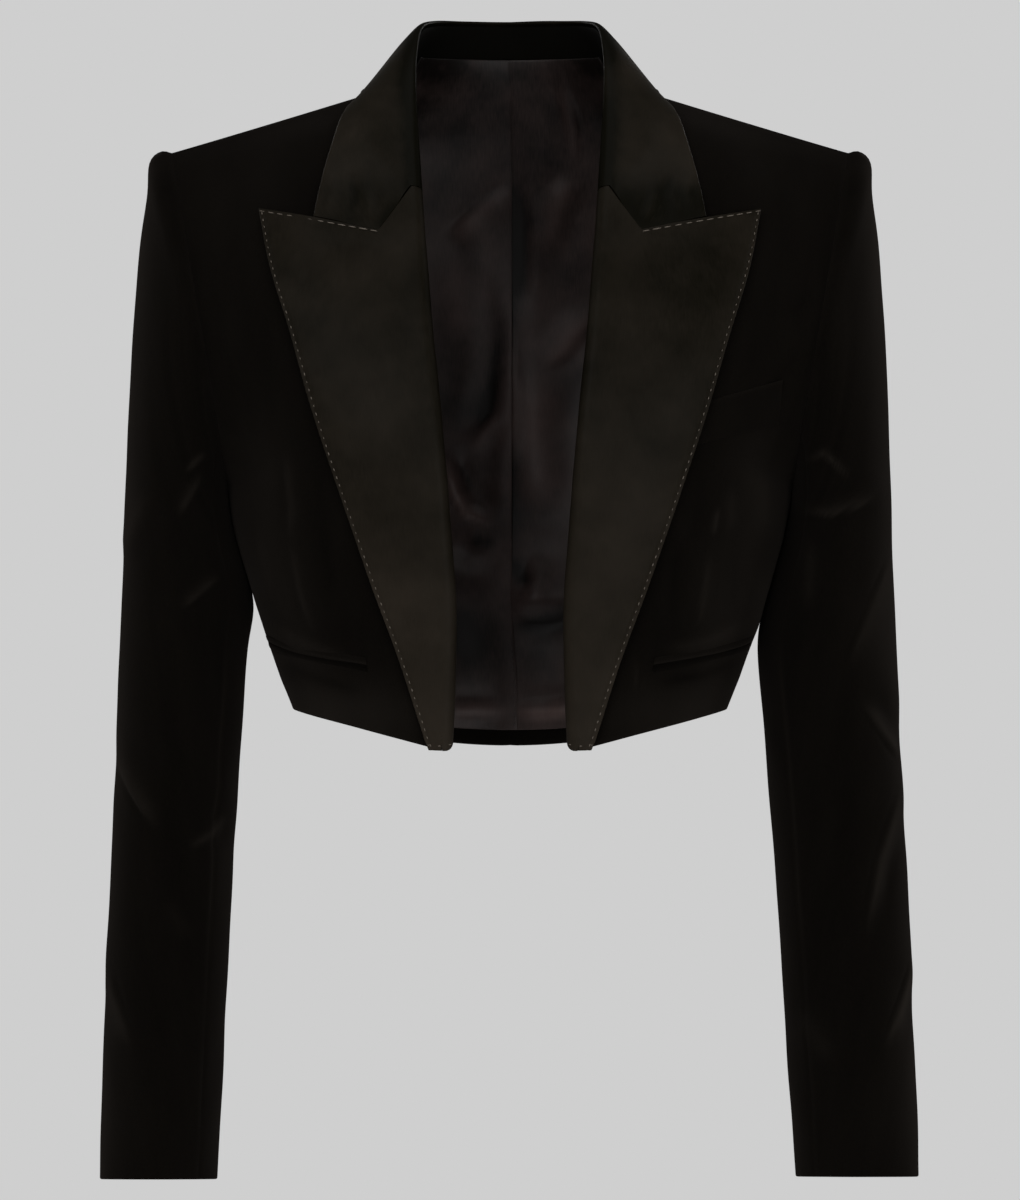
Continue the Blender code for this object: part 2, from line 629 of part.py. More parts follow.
def wall(name, inner, outer, side, finish):
    """A closed wall of cloth between two grids; side -1 makes the wearer's right-hand piece."""
    flip = np.array([side, 1.0, 1.0])
    mesh = bpy.data.meshes.new(name)
    shell = bmesh.new()
    rows, columns = inner.shape[:2]
    sheets = []
    for grid in (inner, outer):
        points = grid.reshape(-1, 3) * flip * MM
        sheets.append([shell.verts.new(point) for point in points])
    for i in range(rows - 1):
        for j in range(columns - 1):
            a, b, c, d = (i, j), (i, j + 1), (i + 1, j + 1), (i + 1, j)
            if np.linalg.norm(outer[a] - outer[c]) > np.linalg.norm(outer[b] - outer[d]):
                a, b, c, d = b, c, d, a
            for corners in ((a, b, c), (a, c, d)):
                places = [row * columns + column for row, column in corners]
                shell.faces.new([sheets[1][k] for k in places])
                shell.faces.new([sheets[0][k] for k in reversed(places)])
    border = list(range(columns))
    border += [i * columns + columns - 1 for i in range(1, rows)]
    border += [(rows - 1) * columns + j for j in range(columns - 2, -1, -1)]
    border += [i * columns for i in range(rows - 2, 0, -1)]
    for k, start in enumerate(border):
        end = border[(k + 1) % len(border)]
        ring = [sheets[0][start], sheets[0][end], sheets[1][end], sheets[1][start]]
        if sheets[0][start].co.z > sheets[0][end].co.z:
            ring = ring[1:] + ring[:1]
        shell.faces.new(ring[:3])
        shell.faces.new((ring[0], ring[2], ring[3]))
    bmesh.ops.recalc_face_normals(shell, faces=shell.faces)
    shell.to_mesh(mesh)
    shell.free()
    mesh.shade_smooth()
    mesh.set_sharp_from_angle(angle=math.radians(50))
    piece = bpy.data.objects.new(name, mesh)
    bpy.context.scene.collection.objects.link(piece)
    piece.data.materials.append(cloth_material(name, *finish))
    return piece


def clear_scene():
    """Remove every object of the scene."""
    for item in list(bpy.data.objects):
        bpy.data.objects.remove(item, do_unlink=True)


def build_side(side, side_name, sleeve_table, folds):
    """Panels, sleeve, lapel and pockets of one side; returns the grids that the collar needs."""
    front = front_grid()
    back = back_grid(front)
    half_gap = SEAM_GAP / 2
    sleeve = sleeve_grid(armhole(front, back), sleeve_table, folds)
    normals = (grid_normals(front), -grid_normals(back), sleeve_normals(sleeve))
    centre = normals[1][:, 0]
    centre[:, 0] = 0.0
    normals[1][:, 0] = unit(centre)
    front_outer, back_outer, _ = thickened((front, back, sleeve), normals, CLOTH)
    front_in = unit(np.cross(normals[0][:, -1], np.gradient(front[:, -1], axis=0))) * half_gap
    back_in = unit(np.cross(np.gradient(back[:, -1], axis=0), normals[1][:, -1])) * half_gap
    rings = []
    for front_face, back_face in ((front, back), (front_outer, back_outer)):
        front_face[:, -1] -= front_in
        back_face[:, -1] -= back_in
        rings.append(armhole(front_face, back_face))
        front_face[:, -1] += 2 * front_in
        back_face[:, -1] += 2 * back_in
    sleeve_outer = sleeve_grid(rings[1], sleeve_table, folds)
    sleeve = sleeve_inside(sleeve_outer, rings[0])
    velvet = (VELVET_BLACK, 0.95)
    satin = (SATIN_BLACK, 0.42)

    seams = ("last_row",)
    faces = [drawn_back(grid, seams, half_gap) for grid in (front, front_outer)]
    wall("front_" + side_name, *faces, side, velvet)
    seams = ("first_column", "last_row")
    faces = [drawn_back(grid, seams, half_gap) for grid in (back, back_outer)]
    wall("back_" + side_name, *faces, side, velvet)

    around = sleeve.shape[1] - 1
    under = range(FRONT_SEAM, BACK_SEAM + 1)
    top = [k % around for k in range(BACK_SEAM, around + FRONT_SEAM + 1)]
    seams = ("first_column", "last_column")
    for name, columns in (("top_sleeve_", top), ("under_sleeve_", under)):
        faces = [drawn_back(grid[:, list(columns)], seams, half_gap) for grid in (sleeve, sleeve_outer)]
        wall(name + side_name, *faces, side, velvet)

    front_tree = tree_of([front_outer])
    lapel = lapel_grids(front_tree, tree_of([front]))
    wall("lapel_" + side_name, *lapel, side, satin)
    for name, low, high in (("jet_lower_", -JET_LEVELS, -0.012), ("jet_upper_", 0.012, JET_LEVELS)):
        wall(name + side_name, *laid_on(jet_patch(front_outer, low, high), 0.4, WELT), side, velvet)
    if side > 0:
        patch = panel_patch(front_tree, WELT_TOP, WELT_FOOT, 9, 4)
        wall("breast_welt", *laid_on(patch, 0.9, WELT), side, velvet)
    wall("lining_" + side_name, *lining_grids(back, side), side, (LINING_PLUM, 0.45))
    return front_outer, back_outer, front_tree, lapel[0][-1]


def main():
    """Build the whole blazer."""
    clear_scene()
    build_side(-1, "right", RIGHT_SLEEVE, RIGHT_FOLDS)
    front, back, front_tree, lapel_top = build_side(1, "left", LEFT_SLEEVE, LEFT_FOLDS)
    flip = np.array([-1.0, 1.0, 1.0])
    body = tree_of([front, back, front * flip, back * flip])
    wall("collar_fall", *collar_grids(body, front_tree, lapel_top), 1, (SATIN_BLACK, 0.42))
    wall("collar_stand", *stand_grids(front, back), 1, (STAND_BLACK, 0.9))
    holder = bpy.data.objects.new("blazer", None)
    bpy.context.scene.collection.objects.link(holder)
    for piece in bpy.context.scene.collection.objects:
        if piece.type == "MESH":
            piece.parent = holder


main()
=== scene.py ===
"""The cropped velvet blazer, dressed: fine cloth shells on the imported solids, creases, sewing and studio.

Tables are in millimetres and the shells are made in metres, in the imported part's frame: the front faces -Y,
+Z is up and +X is the wearer's left. Left-hand pieces are worked out first and mirrored for the right.
"""

from __future__ import annotations

import logging
import math
from dataclasses import dataclass, field
from enum import Enum
from typing import NamedTuple, Optional, Sequence

import bpy
import numpy as np
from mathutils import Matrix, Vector
from mathutils.bvhtree import BVHTree


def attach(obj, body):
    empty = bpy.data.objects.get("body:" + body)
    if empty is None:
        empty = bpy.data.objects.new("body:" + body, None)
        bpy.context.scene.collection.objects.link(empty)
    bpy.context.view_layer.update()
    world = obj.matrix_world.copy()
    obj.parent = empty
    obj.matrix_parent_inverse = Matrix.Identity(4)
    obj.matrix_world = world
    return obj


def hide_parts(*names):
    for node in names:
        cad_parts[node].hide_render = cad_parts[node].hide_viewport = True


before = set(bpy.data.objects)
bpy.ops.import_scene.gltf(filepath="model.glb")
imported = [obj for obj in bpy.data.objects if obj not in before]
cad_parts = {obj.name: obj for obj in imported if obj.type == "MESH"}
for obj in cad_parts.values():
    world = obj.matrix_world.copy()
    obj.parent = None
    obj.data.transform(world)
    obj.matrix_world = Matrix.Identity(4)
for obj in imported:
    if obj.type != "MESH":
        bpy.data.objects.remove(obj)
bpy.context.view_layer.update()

LOG = logging.getLogger("blazer")
Material, Mesh, Piece = bpy.types.Material, bpy.types.Mesh, bpy.types.Object
Node, NodeTree, Socket = bpy.types.Node, bpy.types.NodeTree, bpy.types.NodeSocket
Points = np.ndarray
Faces = tuple[Points, Points]  # both faces of a cloth
Place = tuple[float, float]

MM = 0.001  # metres in a millimetre
CLOTH = 2.0  # thickness of the velvet with its backing, in millimetres
SATIN = 2.2  # thickness of the satin with its canvas, in millimetres
RIM_STEPS = 4  # steps round a turned cloth edge
SHARP_DEGREES = 62  # faces that meet at more than this are not smoothed together
NARROWEST_CUT = 0.01  # metres; a strip is cut no narrower than this
MIRROR = np.array([-1.0, 1.0, 1.0])
UP = np.array([0.0, 0.0, 1.0])


class Side(Enum):
    """Which half of the blazer a piece belongs to, with the sign of its X."""

    RIGHT = -1
    LEFT = 1

    @property
    def word(self) -> str:
        """Name used in pieces and nodes."""
        return self.name.lower()


class Edge(Enum):
    """The four edges of a cloth grid: the axis that leads away from each, and its own index on that axis."""

    FIRST_ROW = (0, 0)
    LAST_ROW = (0, -1)
    FIRST_COLUMN = (1, 0)
    LAST_COLUMN = (1, -1)


class Held(Enum):
    """How a cut piece of cloth is held."""

    HUNG = "hung"
    FOLDED = "folded"
    STRETCHED = "stretched"


class PanelRow(NamedTuple):
    """One section of a body panel: centre edge, side edge, and the angle in plan at which it ends."""

    edge_x: float
    edge_y: float
    edge_z: float
    side_x: float
    side_y: float
    side_z: float
    turn: float


class SleeveRow(NamedTuple):
    """One ring of a sleeve."""

    z: float
    outer_x: float
    inner_x: float
    mid_y: float
    depth: float


class Fold(NamedTuple):
    """A large fold of a sleeve: height, place round it, half length, rise, half width and depth."""

    z: float
    turn: float
    reach: float
    slope: float
    width: float
    depth: float


class LapelRow(NamedTuple):
    """One row of the lapel: height of its roll line, and its free edge in the front view."""

    roll_z: float
    edge_x: float
    edge_z: float


class CollarRow(NamedTuple):
    """One row of the collar: fold line, outer edge and the direction away from the neck."""

    fold_x: float
    fold_y: float
    fold_z: float
    edge_x: float
    edge_y: float
    edge_z: float
    out_x: float
    out_y: float


class PaintedHighlight(NamedTuple):
    """A soft painted highlight on the cloth: place, half sizes and how much lighter it is painted."""

    a: float
    b: float
    reach_a: float
    reach_b: float
    gain: float

    def light(self, a: Points, b: Points) -> Points:
        """How much painted highlight the cloth gets at its places."""
        off = ((a - self.a) / self.reach_a) ** 2 + ((b - self.b) / self.reach_b) ** 2
        return self.gain * np.exp(-off)


FRONT_TABLE = (
    PanelRow(39.7, -86, -389.5, 128.5, 4, -366, 90),
    PanelRow(38, -93, -345, 139, 5, -339, 90),
    PanelRow(37.7, -100, -302, 152, 6, -300, 90),
    PanelRow(40.5, -105, -262, 162, 6, -266, 90),
    PanelRow(43, -108, -229, 167.5, 6, -240, 88),
    PanelRow(45.2, -108.5, -205, 170.5, -22, -226, 62),
    PanelRow(47.5, -106.5, -180, 173.5, -43, -203, 46),
    PanelRow(51, -101, -147, 178.5, -55, -172, 36),
    PanelRow(53.8, -92, -113, 184, -55, -138, 30),
    PanelRow(56.4, -79, -82, 190, -45, -104, 25),
    PanelRow(58.5, -62, -53, 196, -27, -71, 20),
    PanelRow(61.5, -30, -16, 200.5, -8, -48, 8),
    PanelRow(64, 8, 7, 203, 8, -35.5, 0),
)

BACK_TABLE = (
    PanelRow(0, 78, -389.5, 128.5, 4, -366, 90),
    PanelRow(0, 79, -345, 139, 5, -339, 90),
    PanelRow(0, 84, -300, 152, 6, -300, 90),
    PanelRow(0, 90, -262, 162, 6, -266, 90),
    PanelRow(0, 94, -232, 167.5, 6, -240, 88),
    PanelRow(0, 97, -205, 170.5, 28, -226, 66),
    PanelRow(0, 99, -178, 174, 50, -203, 50),
    PanelRow(0, 100.5, -145, 179, 63, -172, 40),
    PanelRow(0, 100.5, -112, 185, 65, -138, 33),
    PanelRow(0, 97.5, -78, 191, 56, -104, 27),
    PanelRow(0, 91.5, -44, 196.5, 40, -71, 20),
    PanelRow(0, 82.5, -8, 200.5, 22, -48, 10),
)

SLEEVE_TABLES = {
    Side.LEFT: (
        SleeveRow(-276, 230, 161.9, 8, 118),
        SleeveRow(-304, 231.2, 153.6, 10, 117),
        SleeveRow(-332, 232.4, 148.8, 11, 114),
        SleeveRow(-380, 234.4, 152.8, 12, 108),
        SleeveRow(-428, 236.8, 156.6, 10, 104),
        SleeveRow(-488, 239.6, 160.8, 3, 98),
        SleeveRow(-548, 241.4, 164.4, -7, 93),
        SleeveRow(-608, 243.4, 168, -18, 89),
        SleeveRow(-645, 244, 170.3, -25.7, 87),
    ),
    Side.RIGHT: (
        SleeveRow(-276, 232.4, 161.9, 8, 118),
        SleeveRow(-304, 233.6, 155.2, 10, 117),
        SleeveRow(-332, 234.8, 157.8, 11, 114),
        SleeveRow(-380, 236.4, 161, 12, 108),
        SleeveRow(-428, 238.6, 164.4, 10, 104),
        SleeveRow(-488, 240.8, 167.4, 3, 98),
        SleeveRow(-548, 243, 170.2, -7, 93),
        SleeveRow(-608, 244.4, 172.8, -18, 89),
        SleeveRow(-646.5, 244.8, 174.5, -25.6, 87),
    ),
}

SLEEVE_FOLDS = {
    Side.LEFT: (
        Fold(-252, 70, 70, 0.10, 13, 2.6),
        Fold(-300, 200, 60, -0.15, 14, 2),
        Fold(-380, 20, 60, 0.35, 14, 2.8),
        Fold(-452, 30, 65, -0.45, 15, 3),
        Fold(-545, 15, 55, 0.30, 15, 2.2),
        Fold(-420, 250, 60, 0.25, 16, 2.8),
    ),
    Side.RIGHT: (
        Fold(-232, 110, 50, -0.30, 12, 2.4),
        Fold(-296, 120, 45, -0.40, 13, 2.4),
        Fold(-405, 10, 60, -0.45, 15, 2.8),
        Fold(-440, 150, 55, -0.30, 14, 2.8),
        Fold(-545, 20, 55, -0.35, 15, 2.2),
        Fold(-415, 260, 60, 0.30, 16, 2.8),
    ),
}

LAPEL_TABLE = (
    LapelRow(-389.5, 47.2, -389.5),
    LapelRow(-340, 63, -339),
    LapelRow(-290, 80.5, -290),
    LapelRow(-240, 98, -239),
    LapelRow(-190, 113.3, -192),
    LapelRow(-145, 127.2, -145),
    LapelRow(-100, 139.3, -106),
    LapelRow(-60, 146.3, -72.5),
)

COLLAR_TABLE = (
    CollarRow(0, 71, 47, 0, 86, 4, 0, 1),
    CollarRow(28, 66, 47, 42, 82, 3, 0.35, 0.94),
    CollarRow(46, 50, 46, 68, 56, 2.5, 0.75, 0.66),
    CollarRow(54.5, 26, 41.5, 83.5, 16, 1, 1, 0.1),
    CollarRow(57.5, 0, 28, 96, -14, -8, 0.95, -0.3),
    CollarRow(58.5, -26, 4, 104, -36, -27, 0.8, -0.6),
    CollarRow(57, -47, -25, 109, -53, -51, 0.7, -0.7),
    CollarRow(55, -64, -54, 114.5, -66, -76, 0.6, -0.8),
)


class Stitch(NamedTuple):
    """A kind of stitch: distance to the next, length and half the thread's thickness in mm, and a seed."""

    pitch: float
    length: float
    radius: float
    seed: int


EDGE_STITCH = Stitch(4.9, 1.6, 0.27, 3)
TOP_STITCH = Stitch(6.4, 4.4, 0.34, 5)
SEAM_STITCH = Stitch(3.6, 2.0, 0.25, 7)


def ease(value: Points) -> Points:
    """Smooth step from 0 to 1."""
    value = np.clip(value, 0, 1)
    return value * value * (3 - 2 * value)


def unit(vectors: Points) -> Points:
    """Vectors of length one."""
    return vectors / np.maximum(np.linalg.norm(vectors, axis=-1, keepdims=True), 1e-9)


def smooth_way(share: Points, start: Points, leave: Points, end: Points, arrive: Points) -> Points:
    """Place on a smooth way.

    Args:
        share: Share of the way, from 0 to 1.
        start: Its start.
        leave: Slope with which it leaves.
        end: Its end.
        arrive: Slope with which it arrives.

    Returns:
        The place at that share.
    """
    return (
        (2 * share**3 - 3 * share**2 + 1) * start
        + (share**3 - 2 * share**2 + share) * leave
        + (3 * share**2 - 2 * share**3) * end
        + (share**3 - share**2) * arrive
    )


def through_rows(rows: Sequence, levels: Points) -> Points:
    """Values on a smooth curve through a table's rows.

    Args:
        rows: Equal rows of numbers, or equal lists of points.
        levels: Fractional row numbers.

    Returns:
        One row of values for each level.
    """
    values = np.array(rows, float)
    slopes = np.gradient(values, axis=0)
    levels = np.atleast_1d(np.asarray(levels, float))
    low = np.clip(np.floor(levels).astype(int), 0, len(values) - 2)
    share = (levels - low).reshape(-1, *[1] * (values.ndim - 1))
    return smooth_way(share, values[low], slopes[low], values[low + 1], slopes[low + 1])


def bezier(points: Sequence[Points], shares: Points) -> Points:
    """Points of a cubic curve at shares from 0 to 1, by its four control points or four rows of them."""
    s, (a, b, c, d) = np.asarray(shares)[..., None], points
    return (1 - s) ** 3 * a + 3 * s * (1 - s) ** 2 * b + 3 * s**2 * (1 - s) * c + s**3 * d


def line_way(line: Points) -> Points:
    """Length of a line from its first point to each of its points."""
    return np.concatenate([[0], np.cumsum(np.linalg.norm(np.diff(line, axis=0), axis=1))])


def along_line(line: Points, way: Points, marks: Points) -> Points:
    """Points of a line at marks in a measure, its way, that rises from point to point."""
    return np.column_stack([np.interp(marks, way, line[:, k]) for k in range(3)])


def near_edge(distance: Points, width: float) -> Points:
    """A soft line, one on an edge and fading to nothing away from it."""
    return np.exp(-((distance / width) ** 2))


def grid_normals(grid: Points) -> Points:
    """Unit normals of a grid, columns across rows."""
    return unit(np.cross(np.gradient(grid, axis=1), np.gradient(grid, axis=0)))


def ring_normals(grid: Points) -> Points:
    """Unit normals of a tube whose last column repeats the first."""
    ringed = np.concatenate([grid[:, -2:-1], grid, grid[:, 1:2]], axis=1)
    return grid_normals(ringed)[:, 1:-1]


def way_along(grid: Points, axis: int) -> Points:
    """Length of cloth from a grid's first row (axis 0) or first column (axis 1) to each of its points."""
    steps = np.cumsum(np.linalg.norm(np.diff(grid, axis=axis), axis=2), axis=axis)
    return np.concatenate([np.zeros_like(np.take(steps, [0], axis=axis)), steps], axis=axis)


def edge_distance(grid: Points, edge: Edge) -> Points:
    """Length of cloth from each point of a grid to one of its edges.

    Args:
        grid: Points of the cloth.
        edge: The edge.

    Returns:
        One length for each point.
    """
    axis, end = edge.value
    way = way_along(grid, axis)
    return way if end == 0 else np.take(way, [end], axis=axis) - way


def seam_valley(grid: Points, edges: Sequence[Edge], depth: float, width: float) -> Points:
    """How far cloth is drawn in beside its sewn edges: a depth at the seam, fading out within a width."""
    return depth * np.maximum.reduce([near_edge(edge_distance(grid, edge), width) for edge in edges])


def grid_faces(rows: int, columns: int) -> Points:
    """Corner numbers of the faces of a grid, four in a row."""
    first = (np.arange(rows - 1)[:, None] * columns + np.arange(columns - 1)).reshape(-1)
    return np.column_stack([first, first + 1, first + columns + 1, first + columns])


def rumple(a: Points, b: Points, seed: float) -> Points:
    """Slow unevenness of hanging cloth, in waves of 50 to 90 mm.

    Args:
        a: Place of each point across the cloth.
        b: Place of each point down it.
        seed: Number that shifts the waves.

    Returns:
        One height for each point, at most about one.
    """
    return (
        0.5 * np.sin(a / 11.0 + 1.7 * np.sin(b / 23.0 + seed) + seed)
        + 0.35 * np.sin(b / 14.0 + 1.3 * np.sin(a / 19.0 - seed) + 2.1 * seed)
        + 0.3 * np.sin((a + b) / 8.5 + seed * 3.0)
    )


def tree_of(grids: Sequence[Points]) -> BVHTree:
    """Surface of several grids, for finding the cloth below a point.

    Args:
        grids: The grids.

    Returns:
        One search tree of them all.
    """
    points: list[Vector] = []
    faces: list[tuple[int, ...]] = []
    for grid in grids:
        quads = len(points) + grid_faces(*grid.shape[:2])
        points.extend(Vector(point) for point in grid.reshape(-1, 3))
        faces.extend(tuple(quad) for quad in quads.tolist())
    return BVHTree.FromPolygons(points, faces)


def clear_of(tree: BVHTree, point: Points, away: Points, clearance: float) -> Points:
    """A point moved off the cloth until it keeps a clearance.

    Args:
        tree: The cloth.
        point: The point.
        away: Direction that tells which side of the cloth it belongs to.
        clearance: Distance to keep.

    Returns:
        The moved point.
    """
    place, normal, _, _ = tree.find_nearest(Vector(point))
    facing = np.array(normal)
    if facing @ away < 0:
        facing = -facing
    height = float((point - np.array(place)) @ facing)
    return point + facing * max(clearance - height, 0.0)


@dataclass(frozen=True)
class Crease:
    """A soft trough along a bent line of the front view; a negative depth makes a ridge.

    The path is x and z of its points in turn. A lean makes it gentler on the right of its path and steeper
    on the left, or the other way if negative. The light is painted: how much paler the cloth is painted along
    it, a painted highlight where the pile or the threads catch the light, and painted shade where negative.
    """

    path: tuple[float, ...]
    width: float
    depth: float
    light: float = 0.0
    lean: float = 0.0

    def trace(self, x: Points, z: Points) -> tuple[Points, Points]:
        """How the crease shapes and lights the cloth.

        Args:
            x: Distance of each point of the cloth from the centre plane.
            z: Height of each point.

        Returns:
            How far each point is pressed in, in millimetres, and how much painted light it gets, below zero
            painted shade.
        """
        path = np.array(self.path, float).reshape(-1, 2)
        lengths = line_way(path)
        near = np.full(x.shape, np.inf)
        along = np.zeros(x.shape)
        right = np.zeros(x.shape, bool)
        for k, (start, step) in enumerate(zip(path, np.diff(path, axis=0))):
            a, b = x - start[0], z - start[1]
            share = np.clip((a * step[0] + b * step[1]) / float(step @ step), 0, 1)
            away = np.hypot(a - share * step[0], b - share * step[1])
            closer = away < near
            near = np.where(closer, away, near)
            along = np.where(closer, lengths[k] + share * (lengths[k + 1] - lengths[k]), along)
            right = np.where(closer, step[0] * b - step[1] * a < 0, right)
        share = along / lengths[-1]
        off = near / (self.width * np.where(right, 1 + self.lean, 1 - self.lean))
        # It runs out softly over 0.4 of its length, and past its ends within its own width.
        fade = ease((np.minimum(share, 1 - share) + 0.06) / 0.4)
        fade = fade * np.exp(-np.where((share <= 0) | (share >= 1), off, 0.0))
        uneven = 1 + 0.25 * np.sin(6.0 * share + path[0, 0])
        # Cloth that is pressed in stands up a little on both sides, at 1.75 widths.
        trough = np.exp(-off * off)
        shoulders = 0.4 * np.exp(-(((off - 1.75) / 0.8) ** 2))
        press = self.depth * fade * uneven * (trough - shoulders)
        # Painted highlight along the crest: a narrow bright line over a broader soft one.
        crest = 0.6 * np.exp(-((1.8 * off) ** 2)) + 0.4 * trough
        return press, self.light * fade * crest


def traced(creases: Sequence[Crease], x: Points, z: Points) -> tuple[Points, Points]:
    """How far creases press the cloth in at places of the front view, and the light and shade they paint
    there.
    """
    traces = [crease.trace(x, z) for crease in creases]
    return sum(press for press, _ in traces), sum(light for _, light in traces)


def put_in_scene(name: str, data: bpy.types.ID) -> Piece:
    """Make an object of the scene, at the origin.

    Args:
        name: Its name.
        data: Its mesh, light or camera.

    Returns:
        The object.
    """
    piece = bpy.data.objects.new(name, data)
    bpy.context.scene.collection.objects.link(piece)
    return piece


def linear(colour: str) -> tuple[float, ...]:
    """Linear colour, with full cover, of an sRGB hex value."""
    parts = [int(colour[k:k + 2], 16) / 255 for k in (1, 3, 5)]
    return (*(p / 12.92 if p <= 0.04045 else ((p + 0.055) / 1.055) ** 2.4 for p in parts), 1.0)


def add_node(tree: NodeTree, kind: str, inputs: Optional[dict] = None, **settings: object) -> Node:
    """Add a node to a tree.

    Args:
        tree: Shader or geometry node tree.
        kind: Node type.
        inputs: Socket name or index to a value, or to the output socket that is linked to it.
        settings: Properties of the node.

    Returns:
        The new node.
    """
    node = tree.nodes.new(kind)
    for name, value in settings.items():
        setattr(node, name, value)
    for name, value in (inputs or {}).items():
        if isinstance(value, Socket):
            tree.links.new(value, node.inputs[name])
        else:
            node.inputs[name].default_value = value
    return node


@dataclass(frozen=True)
class Finish:
    """A material: each kind adds the nodes of its pattern and says what its shader gets from them."""

    name: str

    def surface(self, tree: NodeTree) -> dict:
        """Inputs of the shader, from the nodes of the material's own pattern."""
        raise NotImplementedError(tree.name)

    def build(self) -> Material:
        """Make the material.

        Returns:
            The material.
        """
        material = bpy.data.materials.new(self.name)
        material.use_nodes = True
        tree = material.node_tree
        tree.nodes.clear()
        shader = add_node(tree, "ShaderNodeBsdfPrincipled", self.surface(tree))
        add_node(tree, "ShaderNodeOutputMaterial", {"Surface": shader.outputs["BSDF"]})
        return material


@dataclass(frozen=True)
class WovenCloth(Finish):
    """A cloth whose tone wavers from deep to lit, by a fine and a slow pattern, and by light and shade
    painted along its creases, seams and edges.
    """

    deep: str
    lit: str
    roughness: float
    specular: float
    fine_tone: float  # how strongly each pattern varies the tone
    slow_tone: float
    mean: float  # how far the flat cloth lies from the deep to the lit tone
    bump: float
    relief: float  # height of the fine pattern in metres
    unevenness: float = 0.12  # how much the fine pattern varies the roughness

    def woven(self, tree: NodeTree, fine: Socket, slow: Socket) -> dict:
        """Make tone, gloss and relief of the patterns, with the light and shade that each piece paints into
        the tone.

        Args:
            tree: Node tree of the material.
            fine: The fine pattern, about 0.5.
            slow: The slow pattern, about 0.5.

        Returns:
            Inputs of the shader.
        """
        # Painted light and shade: a point attribute of each piece moves the tone towards lit or towards deep.
        nap = add_node(tree, "ShaderNodeAttribute", attribute_name="nap")
        finely = add_node(tree, "ShaderNodeMath", {
            0: fine, 1: self.fine_tone, 2: self.mean - (self.fine_tone + self.slow_tone) / 2,
        }, operation="MULTIPLY_ADD")
        slowly = add_node(tree, "ShaderNodeMath", {
            0: slow, 1: self.slow_tone, 2: finely.outputs[0],
        }, operation="MULTIPLY_ADD")
        share = add_node(tree, "ShaderNodeMath", {
            0: slowly.outputs[0], 1: nap.outputs["Fac"],
        }, operation="ADD", use_clamp=True)
        colour = add_node(tree, "ShaderNodeMix", {
            "Factor": share.outputs[0], 6: linear(self.deep), 7: linear(self.lit),
        }, data_type="RGBA")
        rough = add_node(tree, "ShaderNodeMath", {
            0: fine, 1: self.unevenness, 2: self.roughness - self.unevenness / 2,
        }, operation="MULTIPLY_ADD")
        bump = add_node(tree, "ShaderNodeBump", {
            "Strength": self.bump, "Distance": self.relief, "Height": fine,
        })
        return {
            "Base Color": colour.outputs[2], "Roughness": rough.outputs[0], "Normal": bump.outputs["Normal"],
            "Specular IOR Level": self.specular,
        }


@dataclass(frozen=True)
class Velvet(WovenCloth):
    """Cotton velvet, woven with a short upright pile: black from the front, a soft glow at the sides."""

    name: str = "cotton_velvet_short_pile"
    deep: str = "#060504"
    lit: str = "#1d1a17"
    roughness: float = 0.88
    specular: float = 0.0
    fine_tone: float = 0.2
    slow_tone: float = 0.2
    mean: float = 0.12
    bump: float = 0.28
    relief: float = 0.0005
    sheen: float = 0.06
    sheen_tint: str = "#8f8680"
    pile_mm: float = 1.1  # tufts stand 0.3 mm apart; drawn coarser so that they show
    streak_mm: tuple[float, float] = (26.0, 90.0)

    def surface(self, tree: NodeTree) -> dict:
        """Lay pile grain and brushed streaks.

        Args:
            tree: Node tree of the material.

        Returns:
            Inputs of the shader.
        """
        place = add_node(tree, "ShaderNodeTexCoord").outputs
        pile = add_node(tree, "ShaderNodeTexNoise", {
            "Vector": place["Object"], "Scale": 1000 / self.pile_mm, "Detail": 3.0, "Roughness": 0.6,
        })
        across, down = self.streak_mm
        drawn = add_node(tree, "ShaderNodeMapping", {
            "Vector": place["UV"], "Scale": (1000 / across, 1000 / down, 1.0),
        })
        streaks = add_node(tree, "ShaderNodeTexNoise", {
            "Vector": drawn.outputs["Vector"], "Scale": 1.0, "Detail": 3.0, "Roughness": 0.55,
        })
        return self.woven(tree, pile.outputs["Fac"], streaks.outputs["Fac"]) | {
            "Sheen Weight": self.sheen, "Sheen Roughness": 0.5, "Sheen Tint": linear(self.sheen_tint),
        }


@dataclass(frozen=True)
class Satin(WovenCloth):
    """Filament satin, woven with long floats: a smooth face, a wide soft highlight along the threads."""

    fine_tone: float = 0.3
    slow_tone: float = 0.9
    mean: float = 0.4
    bump: float = 0.1
    relief: float = 0.0004
    thread_mm: float = 0.8  # floats lie 0.15 mm apart; drawn coarser so that they show
    float_length: float = 9.0  # length of a float in thread widths
    cloud_mm: float = 45.0

    def surface(self, tree: NodeTree) -> dict:
        """Lay fine cross threads and slow clouds of lighter cloth.

        Args:
            tree: Node tree of the material.

        Returns:
            Inputs of the shader.
        """
        place = add_node(tree, "ShaderNodeTexCoord").outputs
        across, down = self.thread_mm, self.thread_mm * self.float_length
        drawn = add_node(tree, "ShaderNodeMapping", {
            "Vector": place["UV"], "Scale": (1000 / across, 1000 / down, 1.0),
        })
        floats = add_node(tree, "ShaderNodeTexNoise", {
            "Vector": drawn.outputs["Vector"], "Scale": 1.0, "Detail": 2.0, "Roughness": 0.5,
        })
        clouds = add_node(tree, "ShaderNodeTexNoise", {
            "Vector": place["Object"], "Scale": 1000 / self.cloud_mm, "Detail": 4.0, "Roughness": 0.6,
        })
        return self.woven(tree, floats.outputs["Fac"], clouds.outputs["Fac"]) | {"Anisotropic": 0.35}


